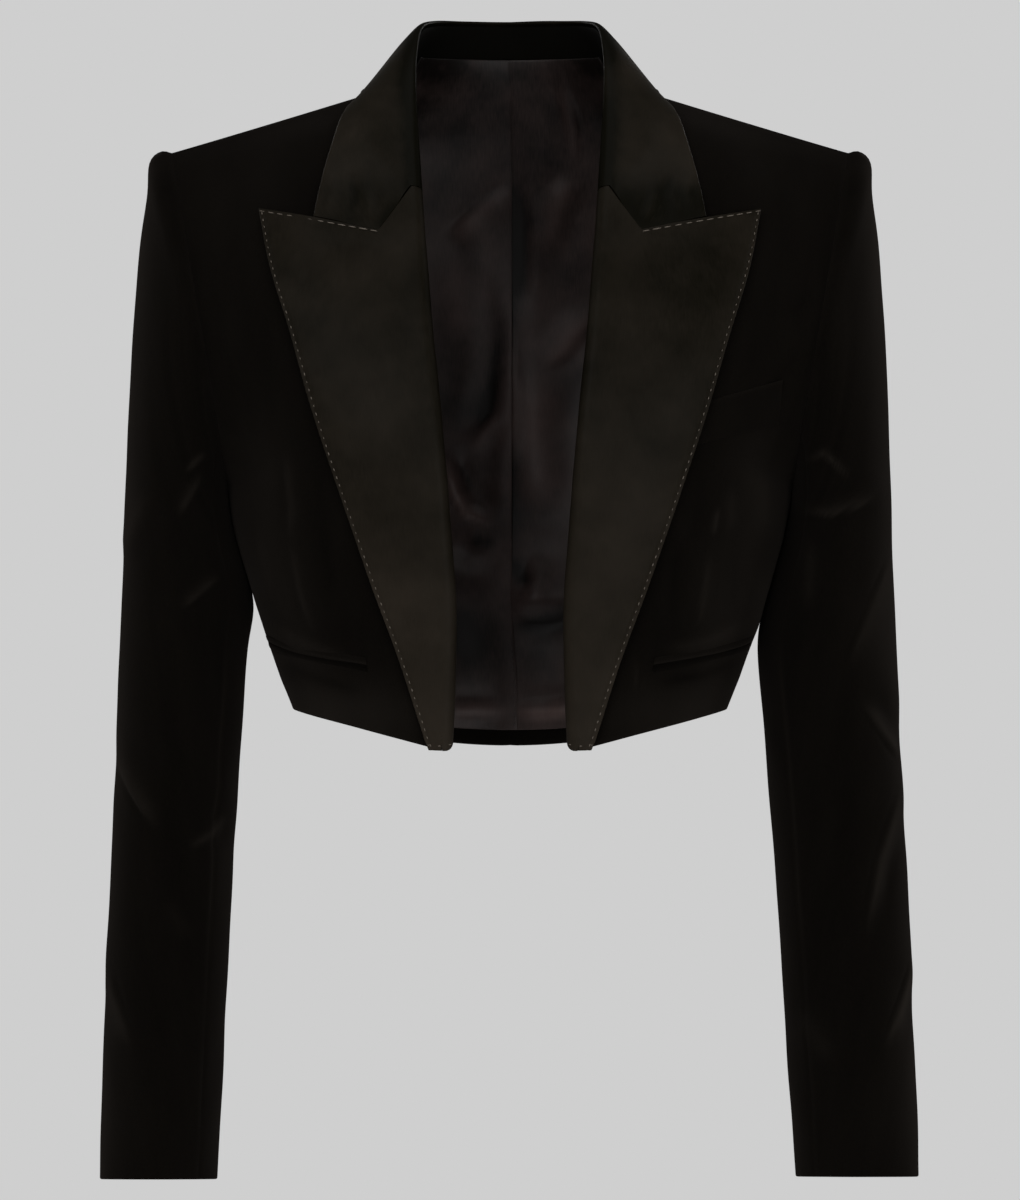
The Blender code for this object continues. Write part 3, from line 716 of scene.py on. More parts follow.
@dataclass(frozen=True)
class SewingThread(Finish):
    """Spun sewing silk: a dull twisted strand with a faint shine."""

    name: str = "spun_sewing_silk"
    dark: str = "#37322b"
    light: str = "#6a6157"
    twist_mm: float = 0.5

    def surface(self, tree: NodeTree) -> dict:
        """Lay two tones that follow the twist of the strand.

        Args:
            tree: Node tree of the material.

        Returns:
            Inputs of the shader.
        """
        place = add_node(tree, "ShaderNodeTexCoord").outputs
        twist = add_node(tree, "ShaderNodeTexNoise", {
            "Vector": place["Object"], "Scale": 1000 / self.twist_mm, "Detail": 2.0,
        })
        colour = add_node(tree, "ShaderNodeMix", {
            "Factor": twist.outputs["Fac"], 6: linear(self.dark), 7: linear(self.light),
        }, data_type="RGBA")
        return {"Base Color": colour.outputs[2], "Roughness": 0.55, "Specular IOR Level": 0.3}


@dataclass(frozen=True)
class StudioPaper(Finish):
    """Matt background paper: pale, even, with hardly any grain."""

    name: str = "matt_background_paper"
    colour: str = "#d6d6d6"
    grain_mm: float = 4.0
    fibre_shade: float = 0.97  # light that the darker fibres give back

    def surface(self, tree: NodeTree) -> dict:
        """Lay one pale tone with faint fibre clouds.

        Args:
            tree: Node tree of the material.

        Returns:
            Inputs of the shader.
        """
        place = add_node(tree, "ShaderNodeTexCoord").outputs
        grain = add_node(tree, "ShaderNodeTexNoise", {
            "Vector": place["Object"], "Scale": 1000 / self.grain_mm, "Detail": 2.0,
        })
        pale = linear(self.colour)
        fibre = tuple(self.fibre_shade * level for level in pale[:3]) + (1.0,)
        colour = add_node(tree, "ShaderNodeMix", {
            "Factor": grain.outputs["Fac"], 6: pale, 7: fibre,
        }, data_type="RGBA")
        return {"Base Color": colour.outputs[2], "Roughness": 0.9}


@dataclass
class ClothShell:
    """A closed shell of cloth between two grids of points, in place of one node of the part."""

    node: str
    cloth: str
    inner: Points
    outer: Points
    side: Side = Side.LEFT
    # Light and shade painted into the cloth's tone, one value for each point of the grid.
    nap: Optional[Points] = None
    rounded: tuple[Edge, ...] = tuple(Edge)

    @property
    def name(self) -> str:
        """Name of the piece: its node and its cloth."""
        return f"{self.node}_{self.cloth}"

    def border(self) -> Points:
        """Point numbers once round the grid's edge."""
        numbers = np.arange(self.inner[:, :, 0].size).reshape(self.inner.shape[:2])
        return np.concatenate([numbers[0], numbers[1:, -1], numbers[-1, -2::-1], numbers[-2:0:-1, 0]])

    def rim(self, border: Points) -> list[Points]:
        """Turned edge between the inner and the outer face.

        Args:
            border: Point numbers once round the grid's edge.

        Returns:
            Points of the edge, ring by ring.
        """
        middle = (self.inner + self.outer) / 2
        out = np.zeros_like(middle)
        for edge in self.rounded:
            axis, end = edge.value
            lines = middle.swapaxes(0, axis)
            out.swapaxes(0, axis)[end] += unit(lines[end] - lines[1 if end == 0 else -2])
        out = out.reshape(-1, 3)[border]
        centre = middle.reshape(-1, 3)[border]
        half = ((self.outer - self.inner) / 2).reshape(-1, 3)[border]
        turned = np.linalg.norm(out, axis=1, keepdims=True) > 0.1
        bulge = unit(out) * np.linalg.norm(half, axis=1, keepdims=True) * turned
        angles = [math.pi * k / RIM_STEPS for k in range(1, RIM_STEPS)]
        return [centre - half * math.cos(angle) + bulge * math.sin(angle) for angle in angles]

    def build(self) -> Piece:
        """Make the mesh, with its UV map in metres and its attribute of painted light and shade.

        Returns:
            The piece, linked to the scene.
        """
        rows, columns = self.inner.shape[:2]
        count = rows * columns
        border = self.border()
        rings = self.rim(border)
        points = np.concatenate([self.inner.reshape(-1, 3), self.outer.reshape(-1, 3), *rings])
        quads = grid_faces(rows, columns)
        edge = 2 * count + np.arange(len(rings) * len(border)).reshape(len(rings), -1)
        loops = [border, *edge, border + count]
        faces = [quads[:, ::-1], quads + count]
        for low, high in zip(loops, loops[1:]):
            faces.append(np.column_stack([low, np.roll(low, -1), np.roll(high, -1), high]))
        faces = np.concatenate(faces)
        facing = float(np.sum(grid_normals(self.inner) * (self.outer - self.inner)))
        if (facing < 0) != (self.side is Side.RIGHT):
            faces = faces[:, ::-1]
        mesh = bpy.data.meshes.new(self.name)
        flip = np.array([self.side.value, 1.0, 1.0])
        mesh.from_pydata((points * flip * MM).tolist(), [], faces.tolist())
        numbers = np.arange(count)
        self.lay_attributes(mesh, np.concatenate([numbers, numbers, *[border] * len(rings)]))
        mesh.shade_smooth()
        mesh.set_sharp_from_angle(angle=math.radians(SHARP_DEGREES))
        return put_in_scene(self.name, mesh)

    def lay_attributes(self, mesh: Mesh, source: Points) -> None:
        """Write the UV map and the painted light and shade of a new mesh.

        Args:
            mesh: The mesh.
            source: Number of the grid's point that each point of the mesh takes them from.
        """
        flat = np.stack([way_along(self.outer, 1), way_along(self.outer, 0)], axis=2).reshape(-1, 2) * MM
        corners = np.empty(len(mesh.loops), dtype=np.int32)
        mesh.loops.foreach_get("vertex_index", corners)
        layer = mesh.uv_layers.new(name="cloth")
        layer.data.foreach_set("uv", flat[source[corners]].astype(np.float32).reshape(-1))
        nap = np.zeros(len(flat)) if self.nap is None else self.nap.reshape(-1)
        attribute = mesh.attributes.new("nap", "FLOAT", "POINT")
        attribute.data.foreach_set("value", nap[source].astype(np.float32))

    def cut(self) -> tuple[float, float, float]:
        """Measure the flat cut along the middle of the cloth.

        Returns:
            Its width, its length and its area, in metres.
        """
        middle = (self.inner + self.outer) / 2 * MM
        width = float(way_along(middle, 1)[:, -1].max())
        length = max(float(way_along(middle, 0)[-1].max()), NARROWEST_CUT)
        a, b, c, d = middle[:-1, :-1], middle[:-1, 1:], middle[1:, 1:], middle[1:, :-1]
        area = float(np.linalg.norm(np.cross(c - a, d - b), axis=2).sum() / 2)
        return width, length, min(area, width * length)

    def dress(
        self, material: Material,
    ) -> Piece:
        """Args:
            material: Finish of the cloth.

        Returns:
            The finished piece.
        """
        piece = self.build()
        piece.data.materials.append(material)
        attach(piece, "root")
        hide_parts(self.node)
        return piece


@dataclass
class BodyShape:
    """Inside surface of the left front and back, the same on both sides."""

    fullness: float = 0.62  # how far a section's ends keep their direction
    underarm: int = 4  # section at the foot of the armhole
    neck_share: float = 0.35  # share of a back section that lies below the neck
    neck_back: Place = (70.0, 26.0)
    neck_curve: float = 1.4  # how quickly the neckline rises towards the centre back
    rows_below: int = 61
    rows_above: int = 97
    front_columns: int = 77
    neck_columns: int = 37
    front: Points = field(init=False)
    back: Points = field(init=False)

    def __post_init__(self) -> None:
        """Work out the two grids."""
        curves = [self.section(row, self.front_shares, 1.0) for row in FRONT_TABLE]
        self.front = through_rows(curves, self.levels)
        curves = [self.section(row, self.back_shares, 2.0) for row in BACK_TABLE]
        neck = self.neckline(self.back_shares[:self.neck_columns] / self.neck_share)
        curves.append(np.concatenate([neck, self.front[-1, 1:]]))
        self.back = through_rows(curves, self.levels)
        below = self.levels <= self.underarm
        self.back[below, -1] = self.front[below, -1]
        self.back[:, 0, 0] = 0.0

    @property
    def levels(self) -> Points:
        """Fractional row numbers of the tables, for the grid's rows from hem to shoulder."""
        high = np.linspace(self.underarm, len(FRONT_TABLE) - 1, self.rows_above)
        return np.concatenate([np.linspace(0, self.underarm, self.rows_below), high[1:]])

    @property
    def front_shares(self) -> Points:
        """Places of the columns along a section of the front."""
        return np.linspace(0, 1, self.front_columns)

    @property
    def back_shares(self) -> Points:
        """Places of the columns along a section of the back."""
        neck = np.linspace(0, self.neck_share, self.neck_columns)
        return np.concatenate([neck, self.neck_share + (1 - self.neck_share) * self.front_shares[1:]])

    def section(self, row: PanelRow, shares: Points, sag: float) -> Points:
        """One section: a rounded line in plan, whose height runs from edge to side.

        Args:
            row: Row of the table.
            shares: Places along the section.
            sag: Power by which the height leaves that of the centre edge.

        Returns:
            One point for each share.
        """
        start = np.array([row.edge_x, row.edge_y])
        end = np.array([row.side_x, row.side_y])
        reach = end - start
        angle = math.radians(row.turn)
        arrive = np.array([math.cos(angle), math.copysign(math.sin(angle), reach[1])])
        length = math.hypot(reach[0] * math.cos(angle), reach[1] * math.sin(angle))
        leave = np.array([reach[0], 0.0])
        controls = (start, start + self.fullness * leave, end - self.fullness * length * arrive, end)
        plan = bezier(controls, shares)
        across = np.clip((plan[:, 0] - start[0]) / reach[0], 0, 1)
        height = row.edge_z + (row.side_z - row.edge_z) * across**sag
        return np.column_stack([plan, height])

    def neckline(self, shares: Points) -> Points:
        """Back neckline.

        Args:
            shares: Places from centre back (0) to the shoulder seam (1).

        Returns:
            One point for each share.
        """
        angle = np.asarray(shares) * math.pi / 2
        end = FRONT_TABLE[-1]
        back_y, back_z = self.neck_back
        x = end.edge_x * np.sin(angle)
        y = end.edge_y + (back_y - end.edge_y) * np.cos(angle)
        z = end.edge_z + (back_z - end.edge_z) * np.cos(angle) ** self.neck_curve
        return np.column_stack([x, y, z])

    def armhole(self, front: Points, back: Points) -> Points:
        """Ring of the armhole, from the shoulder down the front and up the back."""
        top = self.rows_below - 1
        return np.concatenate([front[top:, -1][::-1], back[top + 1:-1, -1]])


def mitred(grids: Sequence[Points], normals: Sequence[Points], thickness: float) -> list[Points]:
    """Outer faces of panels, mitred where their grids share points.

    Args:
        grids: Inner faces.
        normals: Outward directions at their points.
        thickness: Thickness of the cloth.

    Returns:
        One outer face for each grid.
    """
    total: dict[tuple[float, ...], Points] = {}
    keys = [np.round(grid.reshape(-1, 3), 2) + 0.0 for grid in grids]
    for key, normal in zip(keys, normals):
        for place, direction in zip(map(tuple, key), normal.reshape(-1, 3)):
            total[place] = total.get(place, 0) + direction
    outers = []
    for grid, key, normal in zip(grids, keys, normals):
        mean = unit(np.array([total[place] for place in map(tuple, key)])).reshape(grid.shape)
        stretch = 1 / np.maximum(np.sum(mean * normal, axis=-1, keepdims=True), 0.7)
        outers.append(grid + mean * thickness * stretch)
    return outers


FRONT_CREASES = {
    Side.LEFT: (
        Crease((121.5, -247, 118.5, -264), 1.9, -0.7, 0.30),
        Crease((129, -234, 129, -264), 5, -0.7, 0.12),
        Crease((116, -272, 113, -296, 109.5, -318), 2.8, -0.8, 0.17, -0.4),
        Crease((148, -222, 150, -266), 8, -0.9, 0.12),
        Crease((153, -280, 143, -326), 8, -0.8, 0.18),
        Crease((134, -270, 129, -312), 5, 0.9, -0.05),
        Crease((98, -262, 95, -312), 5, 0.6, -0.04),
        Crease((88, -331, 116, -325, 141, -313), 6, -1.2, 0.16, 0.4),
        Crease((84, -351, 114, -346, 138, -336), 5, 0.7, -0.12),
        Crease((73.8, -333, 73.8, -356), 1.6, 0.6, 0.12),
        Crease((172, -150, 152, -184), 8, 0.9, -0.04),
        Crease((178, -118, 160, -138), 7, 0.6, -0.03),
    ),
    Side.RIGHT: (
        Crease((131, -214, 128, -248, 130, -268), 3.4, -0.8, 0.17, 0.4),
        Crease((129.5, -266, 123.5, -295, 115, -321), 2.6, -0.8, 0.18, 0.4),
        Crease((110, -258, 104, -302), 5, 0.7, -0.04),
        Crease((147, -258, 141, -304), 6, -0.9, 0.10),
        Crease((90, -338, 118, -327, 142, -315), 6, -1.2, 0.16, 0.4),
        Crease((84, -357, 112, -349, 138, -338), 5, 0.7, -0.12),
        Crease((180, -140, 164, -164, 156, -192), 8, 0.9, -0.03),
        Crease((168, -200, 150, -222), 6, 0.7, 0.04),
    ),
}

BACK_CREASES = {
    Side.LEFT: (
        Crease((152, -232, 128, -200, 104, -172), 8, -1.3, 0.14, 0.4),
        Crease((161, -206, 142, -180), 6, -0.9, 0.12, 0.3),
        Crease((26, -288, 75, -292, 120, -284), 9, 1.2, -0.08),
        Crease((20, -320, 66, -328), 7, -0.8, 0.10, -0.4),
        Crease((96, -302, 88, -352), 8, -0.8, 0.10, 0.4),
        Crease((122, -60, 162, -84), 9, -0.8, 0.08),
    ),
    Side.RIGHT: (
        Crease((148, -236, 130, -206, 98, -184), 7, -1.2, 0.14, 0.4),
        Crease((164, -212, 138, -178), 7, -1, 0.10, 0.3),
        Crease((18, -282, 60, -280, 112, -290), 9, 1.2, -0.08),
        Crease((34, -312, 92, -318), 7, -0.9, 0.10, -0.4),
        Crease((70, -332, 66, -366), 8, -0.7, 0.08, 0.4),
        Crease((112, -56, 158, -76), 9, -0.7, 0.08),
    ),
}

# Soft painted highlights on the velvet of the fronts.
FRONT_PATCHES = {
    Side.LEFT: (
        PaintedHighlight(150, -270, 24, 60, 0.08),
        PaintedHighlight(105, -370, 56, 20, 0.34),
        PaintedHighlight(118, -300, 14, 34, 0.12),
    ),
    Side.RIGHT: (
        PaintedHighlight(140, -285, 22, 45, 0.06),
        PaintedHighlight(105, -370, 56, 20, 0.46),
        PaintedHighlight(170, -70, 40, 30, 0.06),
    ),
}


@dataclass
class BodyPanels:
    """Velvet front and back of one side, mitred to each other and to the sleeve."""

    shape: BodyShape
    side: Side
    valley: float = 0.55
    valley_width: float = 2.2
    rumple_depth: float = 0.3
    still_width: float = 9.0  # distance from a seam within which creases fade out
    # Painted light: highlights along creases, a sheen where the side turns away, lines along the side seam
    # and hem.
    crease_light: float = 1.5
    side_glow: float = 0.22  # painted sheen: how much paler the pile is painted where the side turns away
    seam_glow: float = 0.16
    seam_width: float = 1.8
    glow_heights: Place = (-240.0, -120.0)  # from the first to the second these painted highlights fade
    upper_glow: float = 0.3  # to this share
    hem_glow: float = 0.08
    hem_width: float = 2.0
    front: Faces = field(init=False)
    back: Faces = field(init=False)
    front_smooth: Points = field(init=False)
    back_smooth: Points = field(init=False)
    rings: list[Points] = field(init=False)
    painted_shadings: list[Points] = field(init=False)

    def shape_cloth(self, sleeve: Points) -> None:
        """Give the panels their thickness, seam valleys, creases, and the light and shade painted on them.

        Args:
            sleeve: A first sleeve grid on the inside of the armhole, for the mitre.
        """
        front, back = self.shape.front, self.shape.back
        normals = [grid_normals(front), -grid_normals(back), ring_normals(sleeve)]
        centre = normals[1][:, 0]
        centre[:, 0] = 0.0
        normals[1][:, 0] = unit(centre)
        self.front_smooth, self.back_smooth, _ = mitred((front, back, sleeve), normals, CLOTH)
        front_seams = (Edge.LAST_COLUMN, Edge.LAST_ROW)
        back_seams = (Edge.FIRST_COLUMN, Edge.LAST_COLUMN, Edge.LAST_ROW)
        front_valley = seam_valley(front, front_seams, self.valley, self.valley_width)
        front_outer = self.front_smooth - normals[0] * front_valley[:, :, None]
        back_outer = self.back_smooth - normals[1] * self.back_valley(back)[:, :, None]
        self.rings = [self.shape.armhole(front, back), self.shape.armhole(front_outer, back_outer)]
        self.painted_shadings = []
        faces = []
        groups = (
            (front, front_outer, normals[0], FRONT_CREASES[self.side], front_seams),
            (back, back_outer, normals[1], BACK_CREASES[self.side], back_seams),
        )
        for inner, outer, normal, creases, sewn in groups:
            x, z = inner[:, :, 0], inner[:, :, 2]
            still = np.ones(x.shape)
            for edge in sewn:
                still = still * ease(edge_distance(inner, edge) / self.still_width)
            press, light = traced(creases, x, z)
            wave = self.rumple_depth * rumple(x, z, 0.7 * self.side.value + len(creases))
            move = normal * ((press + wave) * still)[:, :, None]
            faces.append((inner - move, outer - move))
            # Painted light and shade along the creases, fading out near the seams.
            self.painted_shadings.append(self.crease_light * light * still)
        self.front, self.back = faces
        # Painted highlights: soft patches, a sheen where the side turns away, and lines along the side seam
        # and the hem.
        x, z = front[:, :, 0], front[:, :, 2]
        self.painted_shadings[0] = self.painted_shadings[0] + sum(patch.light(x, z) for patch in FRONT_PATCHES[self.side])
        for nap, grid, normal in zip(self.painted_shadings, (front, back), normals):
            low = np.interp(grid[:, :, 2], self.glow_heights, (1.0, self.upper_glow))
            nap += self.side_glow * low * ease((normal[:, :, 0] - 0.5) / 0.4)
            nap += self.seam_glow * low * near_edge(edge_distance(grid, Edge.LAST_COLUMN), self.seam_width)
            nap += self.hem_glow * near_edge(edge_distance(grid, Edge.FIRST_ROW), self.hem_width)

    def back_valley(self, back: Points) -> Points:
        """Valleys of the back: at its seams, and at the shoulder seam but not at the neckline.

        Args:
            back: Inner face of the back.

        Returns:
            One depth for each point.
        """
        press = seam_valley(back, (Edge.FIRST_COLUMN, Edge.LAST_COLUMN), self.valley, self.valley_width)
        shoulder = seam_valley(back, (Edge.LAST_ROW,), self.valley, self.valley_width)
        shoulder[:, :self.shape.neck_columns] = 0.0
        return np.maximum(press, shoulder)

    def build(self, velvet: Material) -> None:
        """Make and dress the two panels.

        Args:
            velvet: Finish of the cloth.
        """
        word = self.side.word
        panels = (
            ("front", "back", self.front, self.painted_shadings[0], (Edge.FIRST_ROW, Edge.FIRST_COLUMN)),
            ("back", "front", self.back, self.painted_shadings[1], (Edge.FIRST_ROW,)),
        )
        for name, other, faces, nap, rounded in panels:
            shell = ClothShell(f"{name}_{word}", "velvet", *faces, self.side, nap, rounded)
            shell.dress(velvet)


SLEEVE_CREASES = {
    Side.LEFT: (
        Crease((175, -219, 186, -214.5, 202, -229), 2.4, -1.1, 0.32),
        Crease((173, -249, 190, -251, 220, -240), 3.6, -1.5, 0.30, -0.5),
        Crease((179.5, -264, 177, -308), 5, -0.7, 0.12),
        Crease((230, -272, 212, -313, 201, -342), 6, -1.4, 0.20, -0.7),
        Crease((209, -362, 222, -380, 235, -398), 3.2, -1.7, 0.34, -0.5),
        Crease((236, -412, 220, -458, 212, -500), 3.4, -1.8, 0.36, -0.4),
        Crease((242, -514, 234, -540, 223, -567), 3.6, -1.8, 0.46, -0.6),
        Crease((192, -578, 172, -545), 8, -0.8, 0.10),
    ),
    Side.RIGHT: (
        Crease((193, -226, 186, -219, 180, -214.5), 2.2, -1, 0.30),
        Crease((197, -252, 190, -240, 183, -227), 3.2, -1.1, 0.26, 0.3),
        Crease((234, -276, 224, -255, 215, -236), 7, -1.3, 0.16),
        Crease((195, -307, 184, -297, 173, -287), 3.4, -1.2, 0.24, 0.3),
        Crease((237, -394, 225, -415, 210, -439), 5, -1.7, 0.24, 0.6),
        Crease((171, -430, 178, -441, 191, -449), 3, -1.3, 0.30),
        Crease((240, -524, 233, -545, 225, -568), 5, -1.5, 0.24, -0.6),
        Crease((205, -480, 190, -505), 7, -0.7, 0.06),
    ),
}

HIDDEN_SLEEVE_CREASES = {
    Side.LEFT: (
        Crease((170, -240, 190, -252, 208, -266), 6, 1.7, -0.10),
        Crease((164, -284, 188, -294), 7, -1.5, 0.14, 0.3),
        Crease((216, -370, 190, -384, 168, -391), 7, -2.2, 0.18, 0.4),
        Crease((224, -406, 196, -424, 174, -431), 8, 2.4, -0.10),
        Crease((214, -450, 188, -463), 7, -1.8, 0.16, 0.4),
        Crease((208, -554, 188, -575), 7, -1.3, 0.12),
        Crease((232, -294, 226, -344), 7, -1.1, 0.12),
    ),
    Side.RIGHT: (
        Crease((168, -236, 188, -246, 204, -262), 6, 1.7, -0.10),
        Crease((166, -290, 192, -298), 7, -1.5, 0.14, 0.3),
        Crease((220, -376, 196, -388, 176, -394), 7, -2.2, 0.18, 0.4),
        Crease((226, -412, 200, -426, 180, -436), 8, 2.4, -0.10),
        Crease((210, -452, 192, -464), 7, -1.8, 0.16, 0.4),
        Crease((212, -546, 194, -570), 7, -1.3, 0.12),
        Crease((234, -306, 228, -356), 7, -1.1, 0.12),
    ),
}

# Soft painted highlights on the velvet of the sleeves.
SLEEVE_PATCHES = {
    Side.LEFT: (
        PaintedHighlight(224, -318, 16, 44, 0.14),
        PaintedHighlight(240, -592, 14, 40, 0.16),
        PaintedHighlight(222, -80, 9, 70, 0.22),
        PaintedHighlight(198, -146, 8, 26, 0.06),
    ),
    Side.RIGHT: (
        PaintedHighlight(234, -250, 10, 30, 0.08),
        PaintedHighlight(236, -390, 12, 24, 0.10),
        PaintedHighlight(240, -612, 16, 40, 0.12),
        PaintedHighlight(222, -70, 8, 60, 0.10),
    ),
}


@dataclass
class Sleeve:
    """Velvet two-piece sleeve with a roped head."""

    shape: BodyShape
    side: Side
    crown_pull: float = 72.0  # how strongly the cloth leaves the armhole at the shoulder
    armpit_pull: float = 28.0  # and at the armpit
    roping: float = 5.5  # how far the head stands out beside the armhole seam
    roping_share: float = 0.13  # where on the head it does so, and over which share
    roping_width: float = 0.09
    cap_rows: int = 48
    tube_rows: int = 180
    front_seam: float = 9 / 24
    back_seam: float = 18 / 24
    valley: float = 0.4
    valley_width: float = 2.0
    rumple_depth: float = 0.3
    still_width: float = 22.0  # distance from the armhole within which creases fade out
    cling: float = 1.6  # how far the inside of the sleeve lies in towards the body
    cling_z: float = -280.0  # height at which it does so, and over which reach
    cling_reach: float = 30.0
    cuff_tilt: float = 0.066  # rise of the cuff's front edge for each unit of depth
    tilt_z: float = -540.0  # height below which the rings tilt, and depth over which they do
    tilt_reach: float = 90.0
    # Painted light: highlights along the creases, on the two seams and at the head.
    crease_light: float = 1.5
    seam_glow: float = 0.16
    glow_heights: tuple[float, ...] = (-520.0, -480.0, -360.0, -320.0)  # the painted seam highlight is full between the middle two
    least_glow: float = 0.15
    head_glow: float = 0.06
    head_width: float = 3.0
    nap: Points = field(init=False)

    def turns(self, count: int) -> Points:
        """Angles round the sleeve, in radians: 0 outside, a quarter turn in front."""
        return 2 * math.pi * np.arange(count) / count

    def tube(self, count: int) -> Points:
        """Plain rings below the armpit, down to the cuff.

        Args:
            count: Points of a ring.

        Returns:
            The rings.
        """
        table = SLEEVE_TABLES[self.side]
        turns = self.turns(count)
        rings = []
        for values in through_rows(table, np.linspace(0, len(table) - 1, self.tube_rows)):
            row = SleeveRow(*values)
            x = (row.outer_x + row.inner_x) / 2 + (row.outer_x - row.inner_x) / 2 * np.cos(turns)
            y = row.mid_y - row.depth / 2 * np.sin(turns)
            z = row.z + self.cuff_tilt * (row.mid_y - y) * ease((self.tilt_z - row.z) / self.tilt_reach)
            rings.append(np.column_stack([x, y, z]))
        return np.array(rings)

    def grid(self, ring: Points) -> Points:
        """Outside of the sleeve from an armhole ring to the cuff, with its large folds and its roped head.

        Args:
            ring: Points of the armhole, from the shoulder round by the front.

        Returns:
            Rows from armhole to cuff; the last column repeats the first.
        """
        count = len(ring)
        turns = self.turns(count)
        tube = self.tube(count)
        high = (1 + np.cos(turns)) / 2
        low = 1 - high
        side = np.sin(turns)
        # The cloth leaves the armhole outwards at the shoulder, downwards at the armpit.
        rise = 0.14 * high - 0.75 * low - 0.25 * np.abs(side)
        leave = np.column_stack([high + 0.25 * low, -0.45 * side, rise])
        leave *= (self.crown_pull * high + self.armpit_pull * low)[:, None]
        arrive = unit(tube[self.tube_rows // 11] - tube[0]) * np.linalg.norm(tube[0] - ring, axis=1)[:, None]
        steps = np.linspace(0, 1, self.cap_rows + 1)[:-1]
        cap = [smooth_way(step, ring, leave, tube[0], arrive) for step in steps]
        rows = np.concatenate([np.array(cap), tube])
        closed = np.concatenate([rows, rows[:, :1]], axis=1)
        normals = ring_normals(closed)
        shares = np.concatenate([steps, np.ones(len(tube))])
        roped = self.roping * near_edge(shares - self.roping_share, self.roping_width) * ease(shares / 0.06)
        settle = ease((shares - 0.1) / 0.4)
        degrees = np.concatenate([np.degrees(turns), [360.0]])
        crown = np.concatenate([high, high[:1]])
        press = self.folded(degrees[None, :], closed[:, :, 2]) * settle[:, None]
        press = press - roped[:, None] * crown[None, :] ** 3
        closed = closed - normals * press[:, :, None]
        closed[:, -1] = closed[:, 0]
        return closed

    def folded(self, degrees: Points, height: Points) -> Points:
        """Depth of the large folds.

        Args:
            degrees: Places round the sleeve.
            height: Heights.

        Returns:
            One depth for each place and height.
        """
        depth = np.zeros(np.broadcast(degrees, height).shape)
        for fold in SLEEVE_FOLDS[self.side]:
            away = (degrees - fold.turn + 180) % 360 - 180
            along = ease(1 - np.abs(away) / fold.reach)
            off = (height - fold.z - fold.slope * away) / fold.width
            ridge = 0.55 * np.exp(-((off - 1.5) ** 2))
            depth = depth + fold.depth * along * (np.exp(-off * off) - ridge)
        return depth * (0.2 + 0.8 * np.abs(np.sin(np.radians(degrees))))

    def creased(self, outer: Points) -> Points:
        """Lay the small creases, seam valleys and slow unevenness on the sleeve, and set the light and shade
        painted on it.

        Args:
            outer: The smooth outside.

        Returns:
            The creased outside.
        """
        count = outer.shape[1] - 1
        turns = np.broadcast_to(np.arange(count + 1) * 2 * math.pi / count, outer.shape[:2])
        x, z = outer[:, :, 0], outer[:, :, 2]
        press, light = np.zeros(x.shape), np.zeros(x.shape)
        for creases, facing in ((SLEEVE_CREASES, np.sin(turns)), (HIDDEN_SLEEVE_CREASES, -np.sin(turns))):
            one_press, one_light = traced(creases[self.side], x, z)
            press += one_press * ease(3 * facing)
            light += one_light * ease(3 * facing)
        wave = self.rumple_depth * rumple(45 * np.cos(turns) + 45 * np.sin(turns), z, self.side.value)
        start = edge_distance(outer, Edge.FIRST_ROW)
        settle = ease(start / self.still_width)
        around = way_along(outer, 1)
        seams = np.zeros(x.shape)
        for seam in (self.front_seam, self.back_seam):
            column = round(seam * count)
            away = np.abs(around - around[:, column:column + 1])
            seams = np.maximum(seams, near_edge(away, self.valley_width))
        shown = np.interp(z, self.glow_heights, (self.least_glow, 1.0, 1.0, self.least_glow))
        # Painted highlights along the creases, on the seams, round the head and in soft patches.
        self.nap = self.crease_light * light * settle + self.seam_glow * seams * shown
        self.nap = self.nap + self.head_glow * near_edge(start, self.head_width)
        self.nap = self.nap + sum(patch.light(x, z) for patch in SLEEVE_PATCHES[self.side])
        move = (press + wave) * settle + self.valley * seams
        creased = outer - ring_normals(outer) * move[:, :, None]
        near_body = near_edge(z - self.cling_z, self.cling_reach) * ease(-np.cos(turns) * 1.6 - 0.6)
        creased[:, :, 0] -= self.cling * near_body
        creased[:, -1] = creased[:, 0]
        return creased

    def build(self, rings: Sequence[Points], velvet: Material) -> None:
        """Make and dress the top and the under sleeve.

        Args:
            rings: Inner and outer edge of the armhole.
            velvet: Finish of the cloth.
        """
        smooth = self.grid(rings[1])
        outer = self.creased(smooth)
        inner = outer - ring_normals(smooth) * CLOTH
        inner[0] = np.concatenate([rings[0], rings[0][:1]])
        count = outer.shape[1] - 1
        first, last = round(self.front_seam * count), round(self.back_seam * count)
        under = list(range(first, last + 1))
        top = [k % count for k in range(last, count + first + 1)]
        word = self.side.word
        for name, columns in (("top_sleeve", top), ("under_sleeve", under)):
            faces = (inner[:, columns], outer[:, columns])
            nap = self.nap[:, columns]
            shell = ClothShell(f"{name}_{word}", "velvet", *faces, self.side, nap, (Edge.LAST_ROW,))
            shell.dress(velvet)


@dataclass
class FrontFace:
    """The smooth outer face of the left front, which lapels and pockets are read from."""

    outer: Points
    inner: Points
    tree: BVHTree = field(init=False)
    inside_tree: BVHTree = field(init=False)
    hem_clear: float = 0.8  # readings stop this far above the hem
    reading_y: float = -400.0  # readings start this far in front

    def __post_init__(self) -> None:
        """Make the search trees."""
        self.tree = tree_of([self.outer])
        self.inside_tree = tree_of([self.inner])

    def at(self, x: float, z: float) -> Points:
        """Point of the face at a place of the front view, or level with it below the hem.

        Args:
            x: Distance from the centre plane.
            z: Height.

        Returns:
            The point.
        """
        hem = FRONT_TABLE[0]
        slope = (hem.side_z - hem.edge_z) / (hem.side_x - hem.edge_x)
        lowest = hem.edge_z + slope * (x - hem.edge_x) + self.hem_clear
        start = Vector((x, self.reading_y, max(z, lowest)))
        place, _, _, _ = self.tree.ray_cast(start, Vector((0, 1, 0)))
        return np.array([x, place.y, z])


